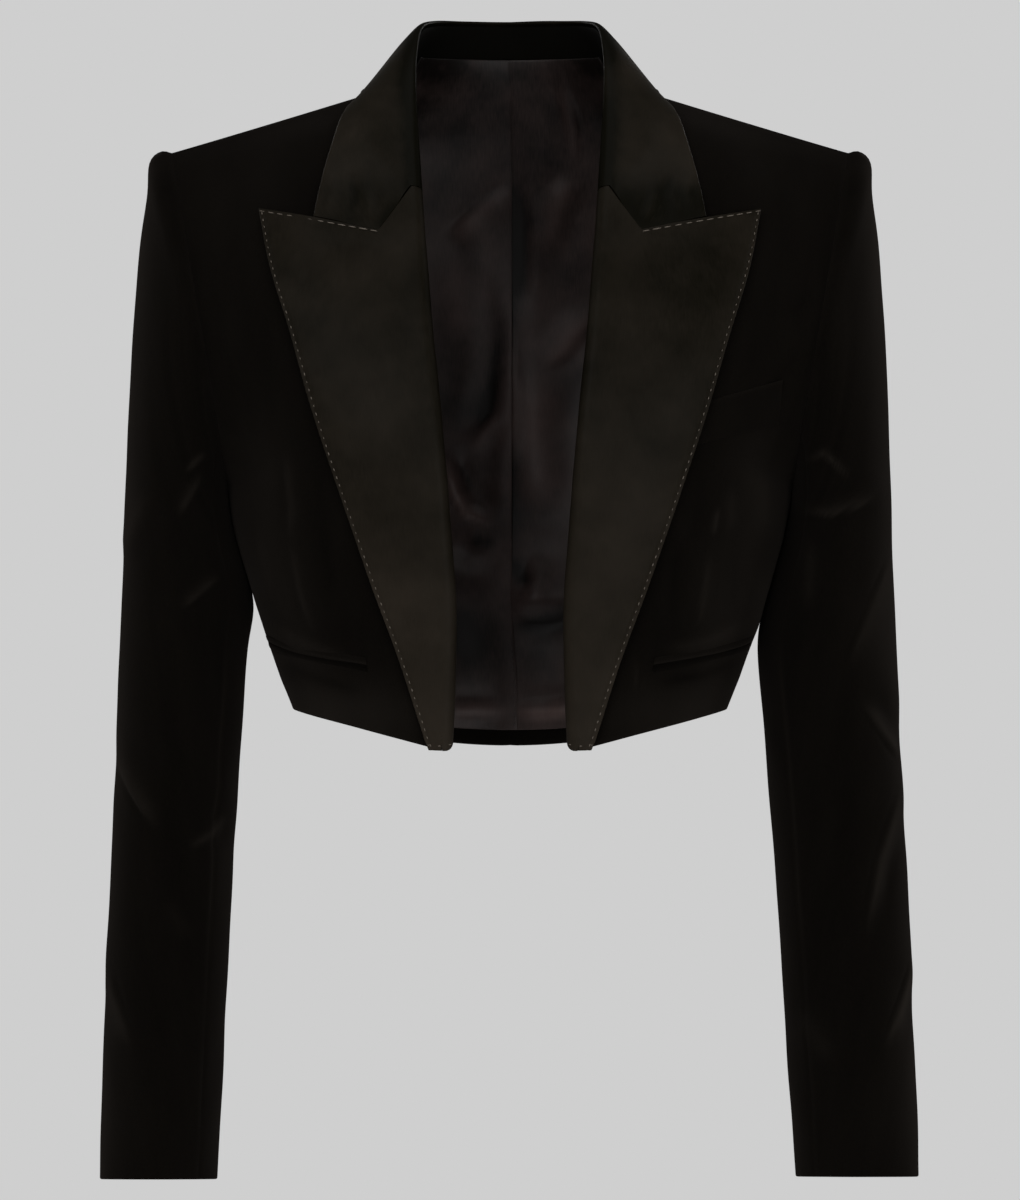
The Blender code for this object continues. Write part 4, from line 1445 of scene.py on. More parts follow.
@dataclass
class Lapel:
    """Satin peak lapel of one side: facing, turn round the front edge, and leaf, with its edge sewing."""

    face: FrontFace
    side: Side
    lift: float = 3.0  # space between the panel and the lapel
    facing: float = 15.0  # width of the cloth turned to the inside
    notch: Place = (77.0, -85.5)
    gorge_share: float = 1 / 3  # share of the top edge that is sewn to the collar
    gorge_level: float = 4.2  # level above which the rows bend towards the top edge
    edge_inset: float = 0.6  # readings keep this far inside the panel's edge
    rows: int = 281
    facing_steps: int = 4
    wrap_steps: int = 12
    leaf_steps: int = 54
    stitch_inset: float = 1.4
    hem_round: float = 3.6  # radius of the corners at the foot
    dimple: float = 0.42  # depth and width of the pit at a stitch
    dimple_width: float = 1.5
    groove: float = 0.14  # depth and width of the groove along the stitches
    groove_width: float = 1.1
    rumple_depth: float = 0.35
    # Painted light and shade: paler towards the foot and darker higher up, with a painted highlight along the
    # free edge.
    nap_heights: tuple[float, ...] = (-390.0, -300.0, -180.0, -60.0)
    nap_levels: tuple[float, ...] = (0.36, 0.18, -0.15, -0.09)  # painted sheen: how pale the satin is painted at these, paler towards the foot
    edge_glow: float = 0.12
    edge_width: float = 1.6
    grids: Faces = field(init=False)

    def leaf_shares(self) -> Points:
        """Columns of the leaf, closer together towards the free edge."""
        return 1 - (1 - np.arange(1, self.leaf_steps + 1) / self.leaf_steps) ** 1.5

    def roll_x(self, roll_z: float) -> float:
        """Distance of the panel's front edge from the centre plane, at a height on the roll line."""
        level = np.interp(roll_z, [row.edge_z for row in FRONT_TABLE], np.arange(len(FRONT_TABLE)))
        return float(through_rows(FRONT_TABLE, level)[0, 0])

    def outline(self, level: float, shares: Points) -> Points:
        """Places of one lapel row in the front view.

        Args:
            level: Fractional row of the table.
            shares: Places from the roll line (0) to the free edge (1).

        Returns:
            One x and z for each share.
        """
        row = LapelRow(*through_rows(LAPEL_TABLE, level)[0])
        roll = np.array([self.roll_x(row.roll_z), row.roll_z])
        edge = np.array([row.edge_x, row.edge_z])
        shares = np.asarray(shares)[:, None]
        place = roll + (edge - roll) * shares
        top = LAPEL_TABLE[-1]
        top_roll = np.array([self.roll_x(top.roll_z), top.roll_z])
        peak = np.array([top.edge_x, top.edge_z])
        notch = np.array(self.notch)
        sewn = top_roll + (notch - top_roll) * shares / self.gorge_share
        free = notch + (peak - notch) * (shares - self.gorge_share) / (1 - self.gorge_share)
        cut = np.where(shares < self.gorge_share, sewn, free)
        dip = cut - (top_roll + (peak - top_roll) * shares)
        last = len(LAPEL_TABLE) - 1
        return place + dip * ease((level - self.gorge_level) / (last - self.gorge_level))

    def shape_cloth(self) -> None:
        """Work out the under and the upper face."""
        turned, turned_out, leaves = [], [], []
        shares = np.concatenate([[0.0], self.leaf_shares()])
        for level in np.linspace(0, len(LAPEL_TABLE) - 1, self.rows):
            outline = self.outline(level, shares)
            x, z = outline[0]
            inside_x = x + self.edge_inset
            edge = self.face.at(inside_x, z)
            across = unit(self.face.at(x + 8.0, z) - edge)
            rise = self.face.at(inside_x, min(z + 4.0, -52.0)) - self.face.at(inside_x, z - 6.0)
            out = unit(np.cross(across, rise))
            middle = edge - across * self.edge_inset - out * CLOTH / 2
            row, row_out = [], []
            for share in np.linspace(1, 1 / self.facing_steps, self.facing_steps):
                gap = np.interp(share, (0.0, 0.5, 1.0), (self.lift, self.lift * 0.6, 0.5))
                place, _, _, _ = self.face.inside_tree.find_nearest(
                    Vector(middle + across * self.facing * share - out * CLOTH)
                )
                row.append(np.array(place) - out * gap)
                row_out.append(-out)
            for k in range(self.wrap_steps + 1):
                angle = math.pi * (1 - k / self.wrap_steps)
                direction = out * math.cos(angle) - across * math.sin(angle)
                row.append(middle + direction * (CLOTH / 2 + self.lift))
                row_out.append(direction)
            turned.append(row)
            turned_out.append(row_out)
            leaves.append([edge] + [self.face.at(max(a, inside_x), b) for a, b in outline[1:]])
        leaves = np.array(leaves)
        leaf_out = grid_normals(leaves)[:, 1:]
        under = np.concatenate([np.array(turned), leaves[:, 1:] + leaf_out * self.lift], axis=1)
        upper = under + np.concatenate([np.array(turned_out), leaf_out], axis=1) * SATIN
        lift = self.foot_lift(upper)[:, :, None] * UP
        self.grids = (under + lift, upper + lift)

    def foot_lift(self, upper: Points) -> Points:
        """How far the cloth at the foot is drawn up so that both corners are round.

        Args:
            upper: The upper face.

        Returns:
            One height for each point.
        """
        foot = upper[0]
        inset = np.minimum(foot[:, 0] - foot[:, 0].min(), np.max(foot[:, 0]) - foot[:, 0])
        short = np.clip(1 - inset / self.hem_round, 0, 1)
        lift = self.hem_round * (1 - np.sqrt(1 - short * short))
        above = upper[:, :, 2] - foot[None, :, 2]
        return lift[None, :] * ease(1 - above / (5 * self.hem_round))

    def leaf_start(self) -> int:
        """First column of the leaf."""
        return self.facing_steps + self.wrap_steps + 1

    def inset_line(self, edge: Edge, first: int, last: int) -> Points:
        """Line on the upper face at the sewing's distance from an edge.

        Args:
            edge: The edge.
            first: Number of the row or column in which the line starts.
            last: Number before which it ends.

        Returns:
            Points of the line.
        """
        axis, _ = edge.value
        upper = self.grids[1].swapaxes(0, axis)
        inset = edge_distance(self.grids[1], edge).swapaxes(0, axis)
        line = []
        for k in range(first, last):
            place = np.interp(-self.stitch_inset, -inset[:, k], np.arange(len(upper)))
            low = int(place)
            high = min(low + 1, len(upper) - 1)
            line.append(upper[low, k] + (upper[high, k] - upper[low, k]) * (place - low))
        return np.array(line)

    def edge_line(self) -> Points:
        """Line of the sewing beside the free edge, from the hem corner up to the peak."""
        return self.inset_line(Edge.LAST_COLUMN, 2, self.rows - 3)

    def top_line(self) -> Points:
        """Line of the sewing below the top edge, from notch to peak."""
        start = self.leaf_start() + int(np.searchsorted(self.leaf_shares(), self.gorge_share + 0.02))
        return self.inset_line(Edge.LAST_ROW, start, self.grids[1].shape[1] - 3)

    def hem_line(self) -> Points:
        """Line of the sewing across the bottom of the leaf, round the hem corner."""
        start = self.leaf_start() - self.wrap_steps // 3
        return self.grids[1][2, start:-4:4]

    def quilted(self, upper: Points) -> Points:
        """Pull the small pits and the groove of the edge sewing into the leaf.

        Args:
            upper: The upper face.

        Returns:
            The upper face with its pits.
        """
        line = self.edge_line()
        way = line_way(line)
        marks = np.arange(EDGE_STITCH.pitch / 2, way[-1], EDGE_STITCH.pitch)
        inset = edge_distance(upper, Edge.LAST_COLUMN)
        near = inset < 7.0
        near[:, :self.leaf_start()] = False
        places = upper[near]
        depth = np.zeros(len(places))
        for pit in along_line(line, way, marks):
            away = np.linalg.norm(places - pit, axis=1)
            depth = np.maximum(depth, near_edge(away, self.dimple_width))
        press = np.zeros(upper.shape[:2])
        press[near] = depth * self.dimple
        groove = self.groove * near_edge(inset - self.stitch_inset, self.groove_width)
        groove[:, :self.leaf_start()] = 0.0
        return upper - grid_normals(upper) * (press + groove)[:, :, None]

    def build(self, satin: Material, sewing: Sequence[Piece]) -> None:
        """Make and dress the lapel.

        Args:
            satin: Finish of the cloth.
            sewing: Stitches that go with it; not used.
        """
        under, upper = self.grids
        start = self.leaf_start()
        x, z = upper[:, :, 0], upper[:, :, 2]
        way = way_along(upper, 1)
        wave = self.rumple_depth * rumple(x * 0.8, z * 0.6, 1.3 * self.side.value)
        wave[:, :start] = 0.0
        wave = wave * ease((way - way[:, start:start + 1]) / 12.0)
        upper = self.quilted(upper) + grid_normals(upper) * wave[:, :, None]
        # Painted sheen by height, and a painted highlight along the free edge.
        nap = np.interp(z, self.nap_heights, self.nap_levels)
        nap = nap + self.edge_glow * near_edge(edge_distance(upper, Edge.LAST_COLUMN), self.edge_width)
        shell = ClothShell(f"lapel_{self.side.word}", "satin", under, upper, self.side, nap)
        shell.dress(satin)


@dataclass
class Pockets:
    """Jetted hip pocket of one side, and the breast welt on the wearer's left."""

    face: FrontFace
    side: Side
    mouth_shares: Place = (3 / 11, 10 / 11)  # ends of the mouth across the front
    mouth_levels: Place = (1.07, 1.36)  # their levels in the front's table
    jet_levels: float = 0.105  # height of a jet in levels
    welt: float = 1.2  # thickness of the folded cloth
    welt_top: tuple[Place, Place] = ((91.0, -192.0), (161.0, -171.7))
    welt_foot: tuple[Place, Place] = ((89.0, -216.0), (158.8, -197.5))
    columns: int = 61
    rows: int = 13

    def jet_patch(self, shape: BodyShape, low: float, high: float) -> Points:
        """Place of one jet on the front, along the pocket mouth.

        Args:
            shape: The body's shape.
            low: Level of its lower edge, from the mouth.
            high: Level of its upper edge.

        Returns:
            Grid of the place.
        """
        outer = self.face.outer
        places = np.linspace(0, 1, self.columns)
        shares = np.interp(places, (0, 1), self.mouth_shares) * (shape.front_columns - 1)
        grid = []
        for offset in np.linspace(low, high, self.rows):
            levels = np.interp(places, (0, 1), self.mouth_levels) + offset
            rows = np.interp(levels, shape.levels, np.arange(len(shape.levels)))
            row, column = rows.astype(int), np.minimum(shares.astype(int), shape.front_columns - 2)
            a, b = (rows - row)[:, None], (shares - column)[:, None]
            below = outer[row, column] * (1 - b) + outer[row, column + 1] * b
            above = outer[row + 1, column] * (1 - b) + outer[row + 1, column + 1] * b
            grid.append(below * (1 - a) + above * a)
        return np.array(grid)

    def welt_patch(self) -> Points:
        """Place of the welt on the front, between its foot and its top line.

        Returns:
            Grid of the place.
        """
        grid = []
        places = np.linspace(0, 1, self.columns)
        for a in np.linspace(0, 1, 2 * self.rows):
            start, end = np.array(self.welt_foot) * (1 - a) + np.array(self.welt_top) * a
            grid.append([self.face.at(*(start + (end - start) * b)) for b in places])
        return np.array(grid)

    def rounded_strip(self, grid: Points, gap: float, roll: float) -> Faces:
        """Under and upper face of a strip whose edges roll down to the cloth.

        Args:
            grid: Place of the strip on the front.
            gap: Space under it.
            roll: Width over which its edges roll down.

        Returns:
            The two faces.
        """
        normals = grid_normals(grid)
        inset = np.minimum.reduce([edge_distance(grid, edge) for edge in Edge])
        crown = np.sqrt(np.clip(1 - (1 - np.clip(inset / roll, 0, 1)) ** 2, 0, 1))
        height = gap * 0.5 + self.welt * (0.2 + 0.4 * crown)
        return grid + normals * gap * 0.3, grid + normals * height[:, :, None]

    def build(self, shape: BodyShape, velvet: Material) -> None:
        """Make and dress the jets, and the welt on the left.

        Args:
            shape: The body's shape.
            velvet: Finish of the cloth.
        """
        word = self.side.word
        # Painted shade on the lower jet and a painted highlight on the upper one, both strongest at the
        # mouth.
        jets = (
            ("jet_lower", -self.jet_levels, -0.012, Edge.LAST_ROW, -0.06),
            ("jet_upper", 0.004, self.jet_levels, Edge.FIRST_ROW, 0.09),
        )
        for name, low, high, mouth, painted_lighting in jets:
            faces = self.rounded_strip(self.jet_patch(shape, low, high), gap=0.4, roll=2.2)
            nap = painted_lighting * (1 + 2.5 * near_edge(edge_distance(faces[0], mouth), 1.3))
            shell = ClothShell(f"{name}_{word}", "velvet", *faces, self.side, nap)
            shell.dress(velvet)
        if self.side is Side.LEFT:
            faces = self.rounded_strip(self.welt_patch(), gap=0.6, roll=2.0)
            # Painted highlight along the welt's top edge.
            nap = 0.02 + 0.1 * near_edge(edge_distance(faces[0], Edge.LAST_ROW), 1.4)
            shell = ClothShell("breast_welt", "velvet", *faces, self.side, nap)
            shell.dress(velvet)


LINING_CREASES = {
    Side.LEFT: (
        Crease((33.6, 12, 36.6, -8, 40, -33), 3.5, -1.2, 0.16),
        Crease((38, -42, 28, -62, 21, -90), 8, -2, 0.22),
        Crease((2.5, -40, 6.5, -82, 6, -124), 5.5, 2, -0.34),
        Crease((51, -125, 33, -149, 20, -160), 7, -1, 0.32, 0.4),
        Crease((15, -162, 12, -200, 24, -250), 14, -2.8, 0.34),
        Crease((2, -134, 4.5, -178, 2.5, -222), 3.2, -1.4, 0.36),
        Crease((2, -276, 13, -297), 6, 2.4, -0.36),
        Crease((0, -303, 20, -302, 46, -298), 13, -4, 0.05, -0.3),
        Crease((2, -370, 20, -371, 42, -369), 5.5, -2.6, 0.55),
        Crease((0, -318, 46, -314), 9, 0.6, -0.34),
        Crease((20, -316, 22, -354), 18, 0.5, -0.2),
        Crease((72, -120, 92, -190), 10, -2, 0.15),
        Crease((62, -260, 102, -300), 10, -1.8, 0.15),
    ),
    Side.RIGHT: (
        Crease((2, -50, 18, -63, 36, -80), 8, -2, 0.26, 0.6),
        Crease((34, -84, 33, -112, 28, -146), 12, -0.7, 0.22),
        Crease((12, -72, 14, -104, 18, -132), 11, -0.7, 0.18),
        Crease((3, -118, 8, -164, 20, -206), 9, 1.5, -0.36),
        Crease((44, -213, 36, -236, 28, -250, 7, -258.5), 4.5, -3, 0.42, 0.5),
        Crease((23, -211, 6, -188), 5, -1.8, 0.22),
        Crease((24, -236, 33, -215), 4, 1.6, -0.20),
        Crease((26, -265, 7, -269), 6, 1.4, -0.20),
        Crease((2, -268, 22, -272, 44, -264), 13, -2.6, -0.05, -0.3),
        Crease((22, -300, 26, -350), 20, 0.4, -0.2),
        Crease((42, -38, 50, -70), 12, 0, -0.14),
        Crease((2, -370, 20, -369, 40, -370), 5, -2, 0.28),
        Crease((72, -130, 88, -200), 10, -2, 0.15),
        Crease((62, -250, 104, -286), 10, -1.8, 0.15),
    ),
}


@dataclass
class BackLining:
    """Satin lining of one half of the back, with its half of the centre pleat."""

    shape: BodyShape
    side: Side
    stand: BVHTree
    thickness: float = 1.0
    rise: float = 0.2  # first and last level in the back's table
    top: float = 11.85
    last_share: float = 0.94  # share of a back section that is lined
    rows: int = 150
    columns: int = 68
    pleat_lap: float = 4.0
    pleat_width: float = 16.0
    base_sink: float = 1.9  # space between the back and the lining
    least_sink: float = 0.7
    slow_wave: float = 1.2  # height of its slow waves
    long_fold: float = 2.4  # height of the fold that runs down beside the pleat
    pleat_press: float = 1.1  # how far the left half of the pleat lies back
    pleat_gape: float = 3.0  # how far the right half stands open, fully between the middle heights
    gape_heights: tuple[float, ...] = (-300.0, -230.0, -130.0, -95.0)
    rumple_depth: float = 0.35
    neck_rows: int = 10
    neck_line: float = 25.6  # height up to which the lining runs inside the stand
    neck_clear: float = 3.0  # distance kept from the stand
    neck_lean: float = 0.34  # how far it leans in for each unit of height there
    hang_rows: int = 16  # rows below the neckline that hang from it, not from the shoulder
    neck_shade: float = 0.14  # painted shade: how much darker it is painted below the collar, and at its top
    top_shade: float = 0.13
    seam_heights: Place = (-379.0, -330.0)
    faces: Faces = field(init=False)
    light: Points = field(init=False)

    def shape_cloth(self) -> None:
        """Work out the outer and the inner face, and the light and shade painted on them."""
        levels = np.linspace(self.rise, self.top, self.rows)
        places = np.linspace(0, 1, self.columns) ** 1.25
        shares = places * self.last_share
        back = self.shape.back
        rows = np.interp(levels, self.shape.levels, np.arange(len(self.shape.levels)))
        columns = np.interp(shares, self.shape.back_shares, np.arange(back.shape[1]))
        base = through_rows(through_rows(back, rows).transpose(1, 0, 2), columns).transpose(1, 0, 2)
        inward = grid_normals(base)
        column = np.interp(shares, (0.0, 0.35, 1.0), (0.0, 6.0, 17.0))[None, :]
        level = levels[:, None]
        middle = np.sin(np.pi * places[None, :]) ** 2
        wave = self.slow_wave * np.sin(level * 1.3 + column * 0.5) * middle
        ridge = self.long_fold * near_edge(column - 3.0 - 0.16 * level, 1.1) * ease((10 - level) / 4)
        sink = self.base_sink + wave + ridge
        way = way_along(base, 1)
        pleat = ease(1 - way / self.pleat_width)
        gaping = np.interp(base[:, :, 2], self.gape_heights, (0.0, 1.0, 1.0, 0.0))
        if self.side is Side.LEFT:
            sink = sink + 0.3 - self.pleat_press * pleat
        else:
            sink = sink + (0.2 + self.pleat_gape * gaping) * pleat
        press, light = traced(LINING_CREASES[self.side], base[:, :, 0], base[:, :, 2])
        press = press + self.rumple_depth * rumple(base[:, :, 0], base[:, :, 2], 2.0 * self.side.value)
        settle = ease(edge_distance(base, Edge.FIRST_ROW) / 4.0)
        settle = settle * ease(edge_distance(base, Edge.LAST_ROW) / 14.0)
        settle = settle * (0.15 + 0.85 * ease(way / 6.0))
        sink = np.maximum(sink - press * settle, self.least_sink)
        outer = base + inward * sink[:, :, None]
        lap = ease(1 - way / 8.0)
        if self.side is Side.RIGHT:
            lap = lap * np.interp(level, (0.9, 1.8), (self.pleat_lap, self.pleat_lap / 4))
            outer = outer + np.stack([-lap, np.full(lap.shape, -0.35) * np.minimum(lap, 4), 0 * lap], axis=2)
        else:
            outer = outer - lap[:, :, None] * np.array([self.pleat_lap, 0.0, 0.0])
        outer = np.concatenate([outer, self.neck_strip(outer[-1], shares)])
        outer = self.hung(outer, shares)
        # Painted shade beside the pleat on the left half where the pleat stands open, and a painted highlight
        # on the right half's edge there.
        edge_light = (-0.4 if self.side is Side.LEFT else 0.15) * gaping * near_edge(way, 6.0)
        light = np.concatenate([light + edge_light, np.zeros((self.neck_rows, self.columns))])
        # Painted shade below the collar, deepest at the lining's top.
        height = outer[:, :, 2]
        shade = self.neck_shade * ease((height + 45.0) / 45.0)
        shade = shade + self.top_shade * ease((height - 6.0) / 14.0)
        self.light = light - shade
        thin = self.thickness * (1 - 0.6 * ease(1 - way_along(outer, 1) / 7.0))
        self.faces = (outer, outer + grid_normals(outer) * thin[:, :, None])

    def neck_strip(self, edge: Points, shares: Points) -> Points:
        """Rows of the lining that run up inside the collar stand to a level line.

        Args:
            edge: The lining's row below the neckline.
            shares: Places of its columns along a section of the back.

        Returns:
            The rows above it.
        """
        below_neck = ease((self.shape.neck_share - shares) / 0.015)
        rise = np.maximum(self.neck_line - edge[:, 2], 0.4) * below_neck + 0.4
        inward = unit(np.column_stack([-edge[:, 0], 20.0 - edge[:, 1], np.zeros(len(edge))]))
        rows = []
        for share in np.linspace(0, 1, self.neck_rows + 1)[1:]:
            lean = self.neck_lean * rise * share
            row = edge + inward * lean[:, None] + np.outer(rise * share, UP)
            free = [clear_of(self.stand, point, way, self.neck_clear) for point, way in zip(row, inward)]
            rows.append(row + (np.array(free) - row) * below_neck[:, None])
        return np.array(rows)

    def hung(self, outer: Points, shares: Points) -> Points:
        """Let the top rows hang from the neck line.

        Args:
            outer: The face as it follows the back.
            shares: Places of its columns along a section of the back.

        Returns:
            The face with a straighter fall below the neck.
        """
        first = len(outer) - self.neck_rows - self.hang_rows
        rows = outer[first:]
        low, top = rows[0], rows[-1]
        climb = np.maximum(top[:, 2:] - low[:, 2:], 1.0)
        step = low - outer[first - 3]
        near = low + step / np.maximum(step[:, 2:], 0.1) * climb / 3
        far = top + (low - top) * np.array([0.12, 0.12, 1 / 3])
        fall = bezier((low, near, far, top), np.clip((rows[:, :, 2] - low[:, 2]) / climb[:, 0], 0, 1))
        weight = ease((self.shape.neck_share - shares) / 0.06)[None, :, None]
        return np.concatenate([outer[:first], rows + (fall - rows) * weight])

    def seam_line(self) -> Points:
        """Line of the sewing that closes the pleat above the hem."""
        inner, (low, high) = self.faces[1], self.seam_heights
        return inner[(inner[:, 0, 2] < high) & (inner[:, 0, 2] > low), 1]

    def build(self, satin: Material, sewing: Sequence[Piece]) -> None:
        """Make and dress the lining.

        Args:
            satin: Finish of the cloth.
            sewing: Stitches that go with it; not used.
        """
        word = self.side.word
        shell = ClothShell(f"lining_{word}", "satin", *self.faces, self.side, self.light)
        shell.dress(satin)


COLLAR_CREASES = (
    Crease((109, -44, 104, -60, 110, -76), 3, -0.4, 0.10),
    Crease((97, -46, 92, -62, 96, -80), 3.4, 0.5, -0.16, 0.3),
    Crease((86, -58, 80, -80), 2.6, -0.4, 0.06),
    Crease((64, -66, 78, -84), 6, 0.3, -0.22),
    Crease((92, -12, 96, -34), 9, -0.3, 0.10),
)


@dataclass
class Collar:
    """Satin fall with its front ends on the lapels, and the dark stand inside the neck, its near-black tones
    painted shade.
    """

    shape: BodyShape
    corner: Place = (114.5, -78.0)
    clear: float = 0.9  # space under the fall
    ridge_clear: float = 0.7  # more of it, over the shoulder seam
    rows_per_section: int = 14
    columns: int = 41
    free_share: float = 0.36  # share of the width that stands free of the body, next to the fold
    end_level: float = 4.5  # level from which the rows turn into the front end
    stand_end: int = 6  # level at which the stand ends
    stand_cloth: float = 2.0
    stand_rows: int = 13
    rumple_depth: float = 0.25
    # Painted light and shade: darker beside the fold and at the front ends, a painted highlight along the
    # outer edge.
    fold_shade: float = 0.45
    end_z: float = -44.0  # height below which the front ends are painted darker, the left one more
    end_shade: float = 0.25
    left_shade: float = 0.2
    edge_glow: float = 0.1
    edge_width: float = 2.0

    def front_end(self, lapel: Lapel) -> Points:
        """Front end of the fall: beside the lapel's roll and gorge seam, then free from notch to corner.

        Args:
            lapel: Left lapel.

        Returns:
            Points of the end, from the fold.
        """
        top = lapel.grids[0][-1]
        start = lapel.facing_steps
        wrap = [start + round(lapel.wrap_steps * share) for share in (0.5, 0.75, 1.0)]
        gorge = np.interp((1 / 9, 2 / 9, 1 / 3), lapel.leaf_shares(), np.arange(lapel.leaf_steps))
        marks = np.concatenate([wrap, lapel.leaf_start() + gorge])
        sewn = along_line(top, np.arange(len(top)), marks)
        along = np.gradient(sewn, axis=0)
        beside = unit(np.cross(np.array([0.25, -1.0, 0.35]), along))
        beside[:2] = UP
        rows = list(sewn + beside * 0.4)
        for share in (1 / 3, 2 / 3, 1.0):
            x, z = np.array(lapel.notch) + (np.array(self.corner) - np.array(lapel.notch)) * share
            rows.append(lapel.face.at(x, z + 0.8) + np.array([0.15, -0.9, 0.25]) * lapel.lift)
        places = np.linspace(0, len(rows) - 1, self.columns)
        return along_line(np.array(rows), np.arange(len(rows)), places)

    def fall_grids(self, body: BVHTree, lapel: Lapel) -> Faces:
        """Work out the fall, from the right notch round to the left one.

        Args:
            body: Outside of the body panels.
            lapel: Left lapel.

        Returns:
            Its under and its upper face.
        """
        last = len(COLLAR_TABLE) - 1
        end = self.front_end(lapel)
        shares = np.linspace(0, 1, self.columns)
        free = int(self.columns * self.free_share)
        half = []
        for level in np.linspace(0, last, self.rows_per_section * last + 1):
            row = CollarRow(*through_rows(COLLAR_TABLE, level)[0])
            out = unit(np.array([row.out_x, row.out_y, 0.0]))
            fold = np.array([row.fold_x, row.fold_y, row.fold_z])
            ahead = through_rows(COLLAR_TABLE, min(level + 0.1, last))[0, :3]
            behind = through_rows(COLLAR_TABLE, max(level - 0.1, 0.0))[0, :3]
            along = unit(ahead - behind)
            # The cloth turns over 0.8 mm above the fold line, starting 1 mm inside it.
            fold = fold + unit(UP - along * (UP @ along)) * 0.8 - out
            edge = clear_of(body, np.array([row.edge_x, row.edge_y, row.edge_z]), out + UP, self.clear)
            arc = bezier((fold, fold + out * 3.5 + UP * 1.2, edge + (fold - edge) * 0.35, edge), shares)
            blend = float(ease((level - self.end_level) / (last - self.end_level)))
            arc = arc * (1 - blend) + end * blend
            clear = self.clear + (lapel.lift - self.clear) * blend
            clear += self.ridge_clear * math.exp(-(((level - 3.3) / 0.7) ** 2))
            arc[free:] = [clear_of(body, point, out + UP, clear) for point in arc[free:]]
            half.append(arc)
        left = np.array(half)
        under = np.concatenate([left[:0:-1] * MIRROR, left])
        return under, under + grid_normals(under[:, ::-1])[:, ::-1] * SATIN

    def stand_grids(self, front: Points, back: Points) -> Faces:
        """Work out the stand, from neckline to fold line.

        Args:
            front: Outer face of the left front.
            back: Outer face of the left back.

        Returns:
            Its outer and its inner face.
        """
        neck = self.shape.neck_columns
        end = 1 + (self.shape.rows_above - 1) // 4
        foot = np.concatenate([back[-1, :neck], front[::-1, 0][1:end]])
        below = np.concatenate([back[-7, :neck], front[::-1, 6][1:end]])
        foot = foot + unit(foot - below) * 0.5
        way = line_way(foot)
        levels = np.linspace(0, self.stand_end, 10 * self.stand_end + 1)
        foot = along_line(foot, way, levels / (len(COLLAR_TABLE) - 1) * way[-1])
        fold = through_rows(COLLAR_TABLE, levels)[:, :3]
        top = fold - unit(fold - foot)
        shares = np.linspace(0, 1, self.stand_rows)
        left = np.array([foot + (top - foot) * share for share in shares]).transpose(1, 0, 2)
        outer = np.concatenate([left[:0:-1] * MIRROR, left])
        normals = grid_normals(outer)
        away = outer - np.array([0.0, 10.0, 0.0])
        away[:, :, 2] = 0.0
        facing = np.sign(np.sum(normals * away, axis=-1, keepdims=True))
        return outer, outer - normals * facing * self.stand_cloth

    def build(self, panels: BodyPanels, lapel: Lapel, satin: Material, dark: Material) -> None:
        """Make and dress the fall and the stand.

        Args:
            panels: Left body panels.
            lapel: Left lapel.
            satin: Finish of the fall.
            dark: Finish of the stand.
        """
        front, back = panels.front_smooth, panels.back_smooth
        body = tree_of([front, back, front * MIRROR, back * MIRROR])
        under, upper = self.fall_grids(body, lapel)
        wave = self.rumple_depth * rumple(upper[:, :, 0], upper[:, :, 2] - upper[:, :, 1], 0.4)
        upper = upper + (upper - under) / SATIN * wave[:, :, None]
        way = way_along(upper, 1)
        press, nap = traced(COLLAR_CREASES, np.abs(upper[:, :, 0]), upper[:, :, 2])
        upper = upper - (upper - under) / SATIN * press[:, :, None]
        # Painted shade beside the fold and at the front ends, and a painted highlight along the outer edge.
        nap = nap - self.fold_shade * near_edge(way - 3.0, 9.0)
        low = ease((self.end_z - upper[:, :, 2]) / 20.0)
        nap = nap - (self.end_shade + self.left_shade * ease(upper[:, :, 0] / 40.0)) * low
        nap = nap + self.edge_glow * near_edge(edge_distance(upper, Edge.LAST_COLUMN), self.edge_width)
        shell = ClothShell("collar_fall", "satin", under, upper, nap=nap)
        shell.dress(satin)
        shell = ClothShell("collar_stand", "cloth", *self.stand_grids(front, back))
        shell.dress(dark)


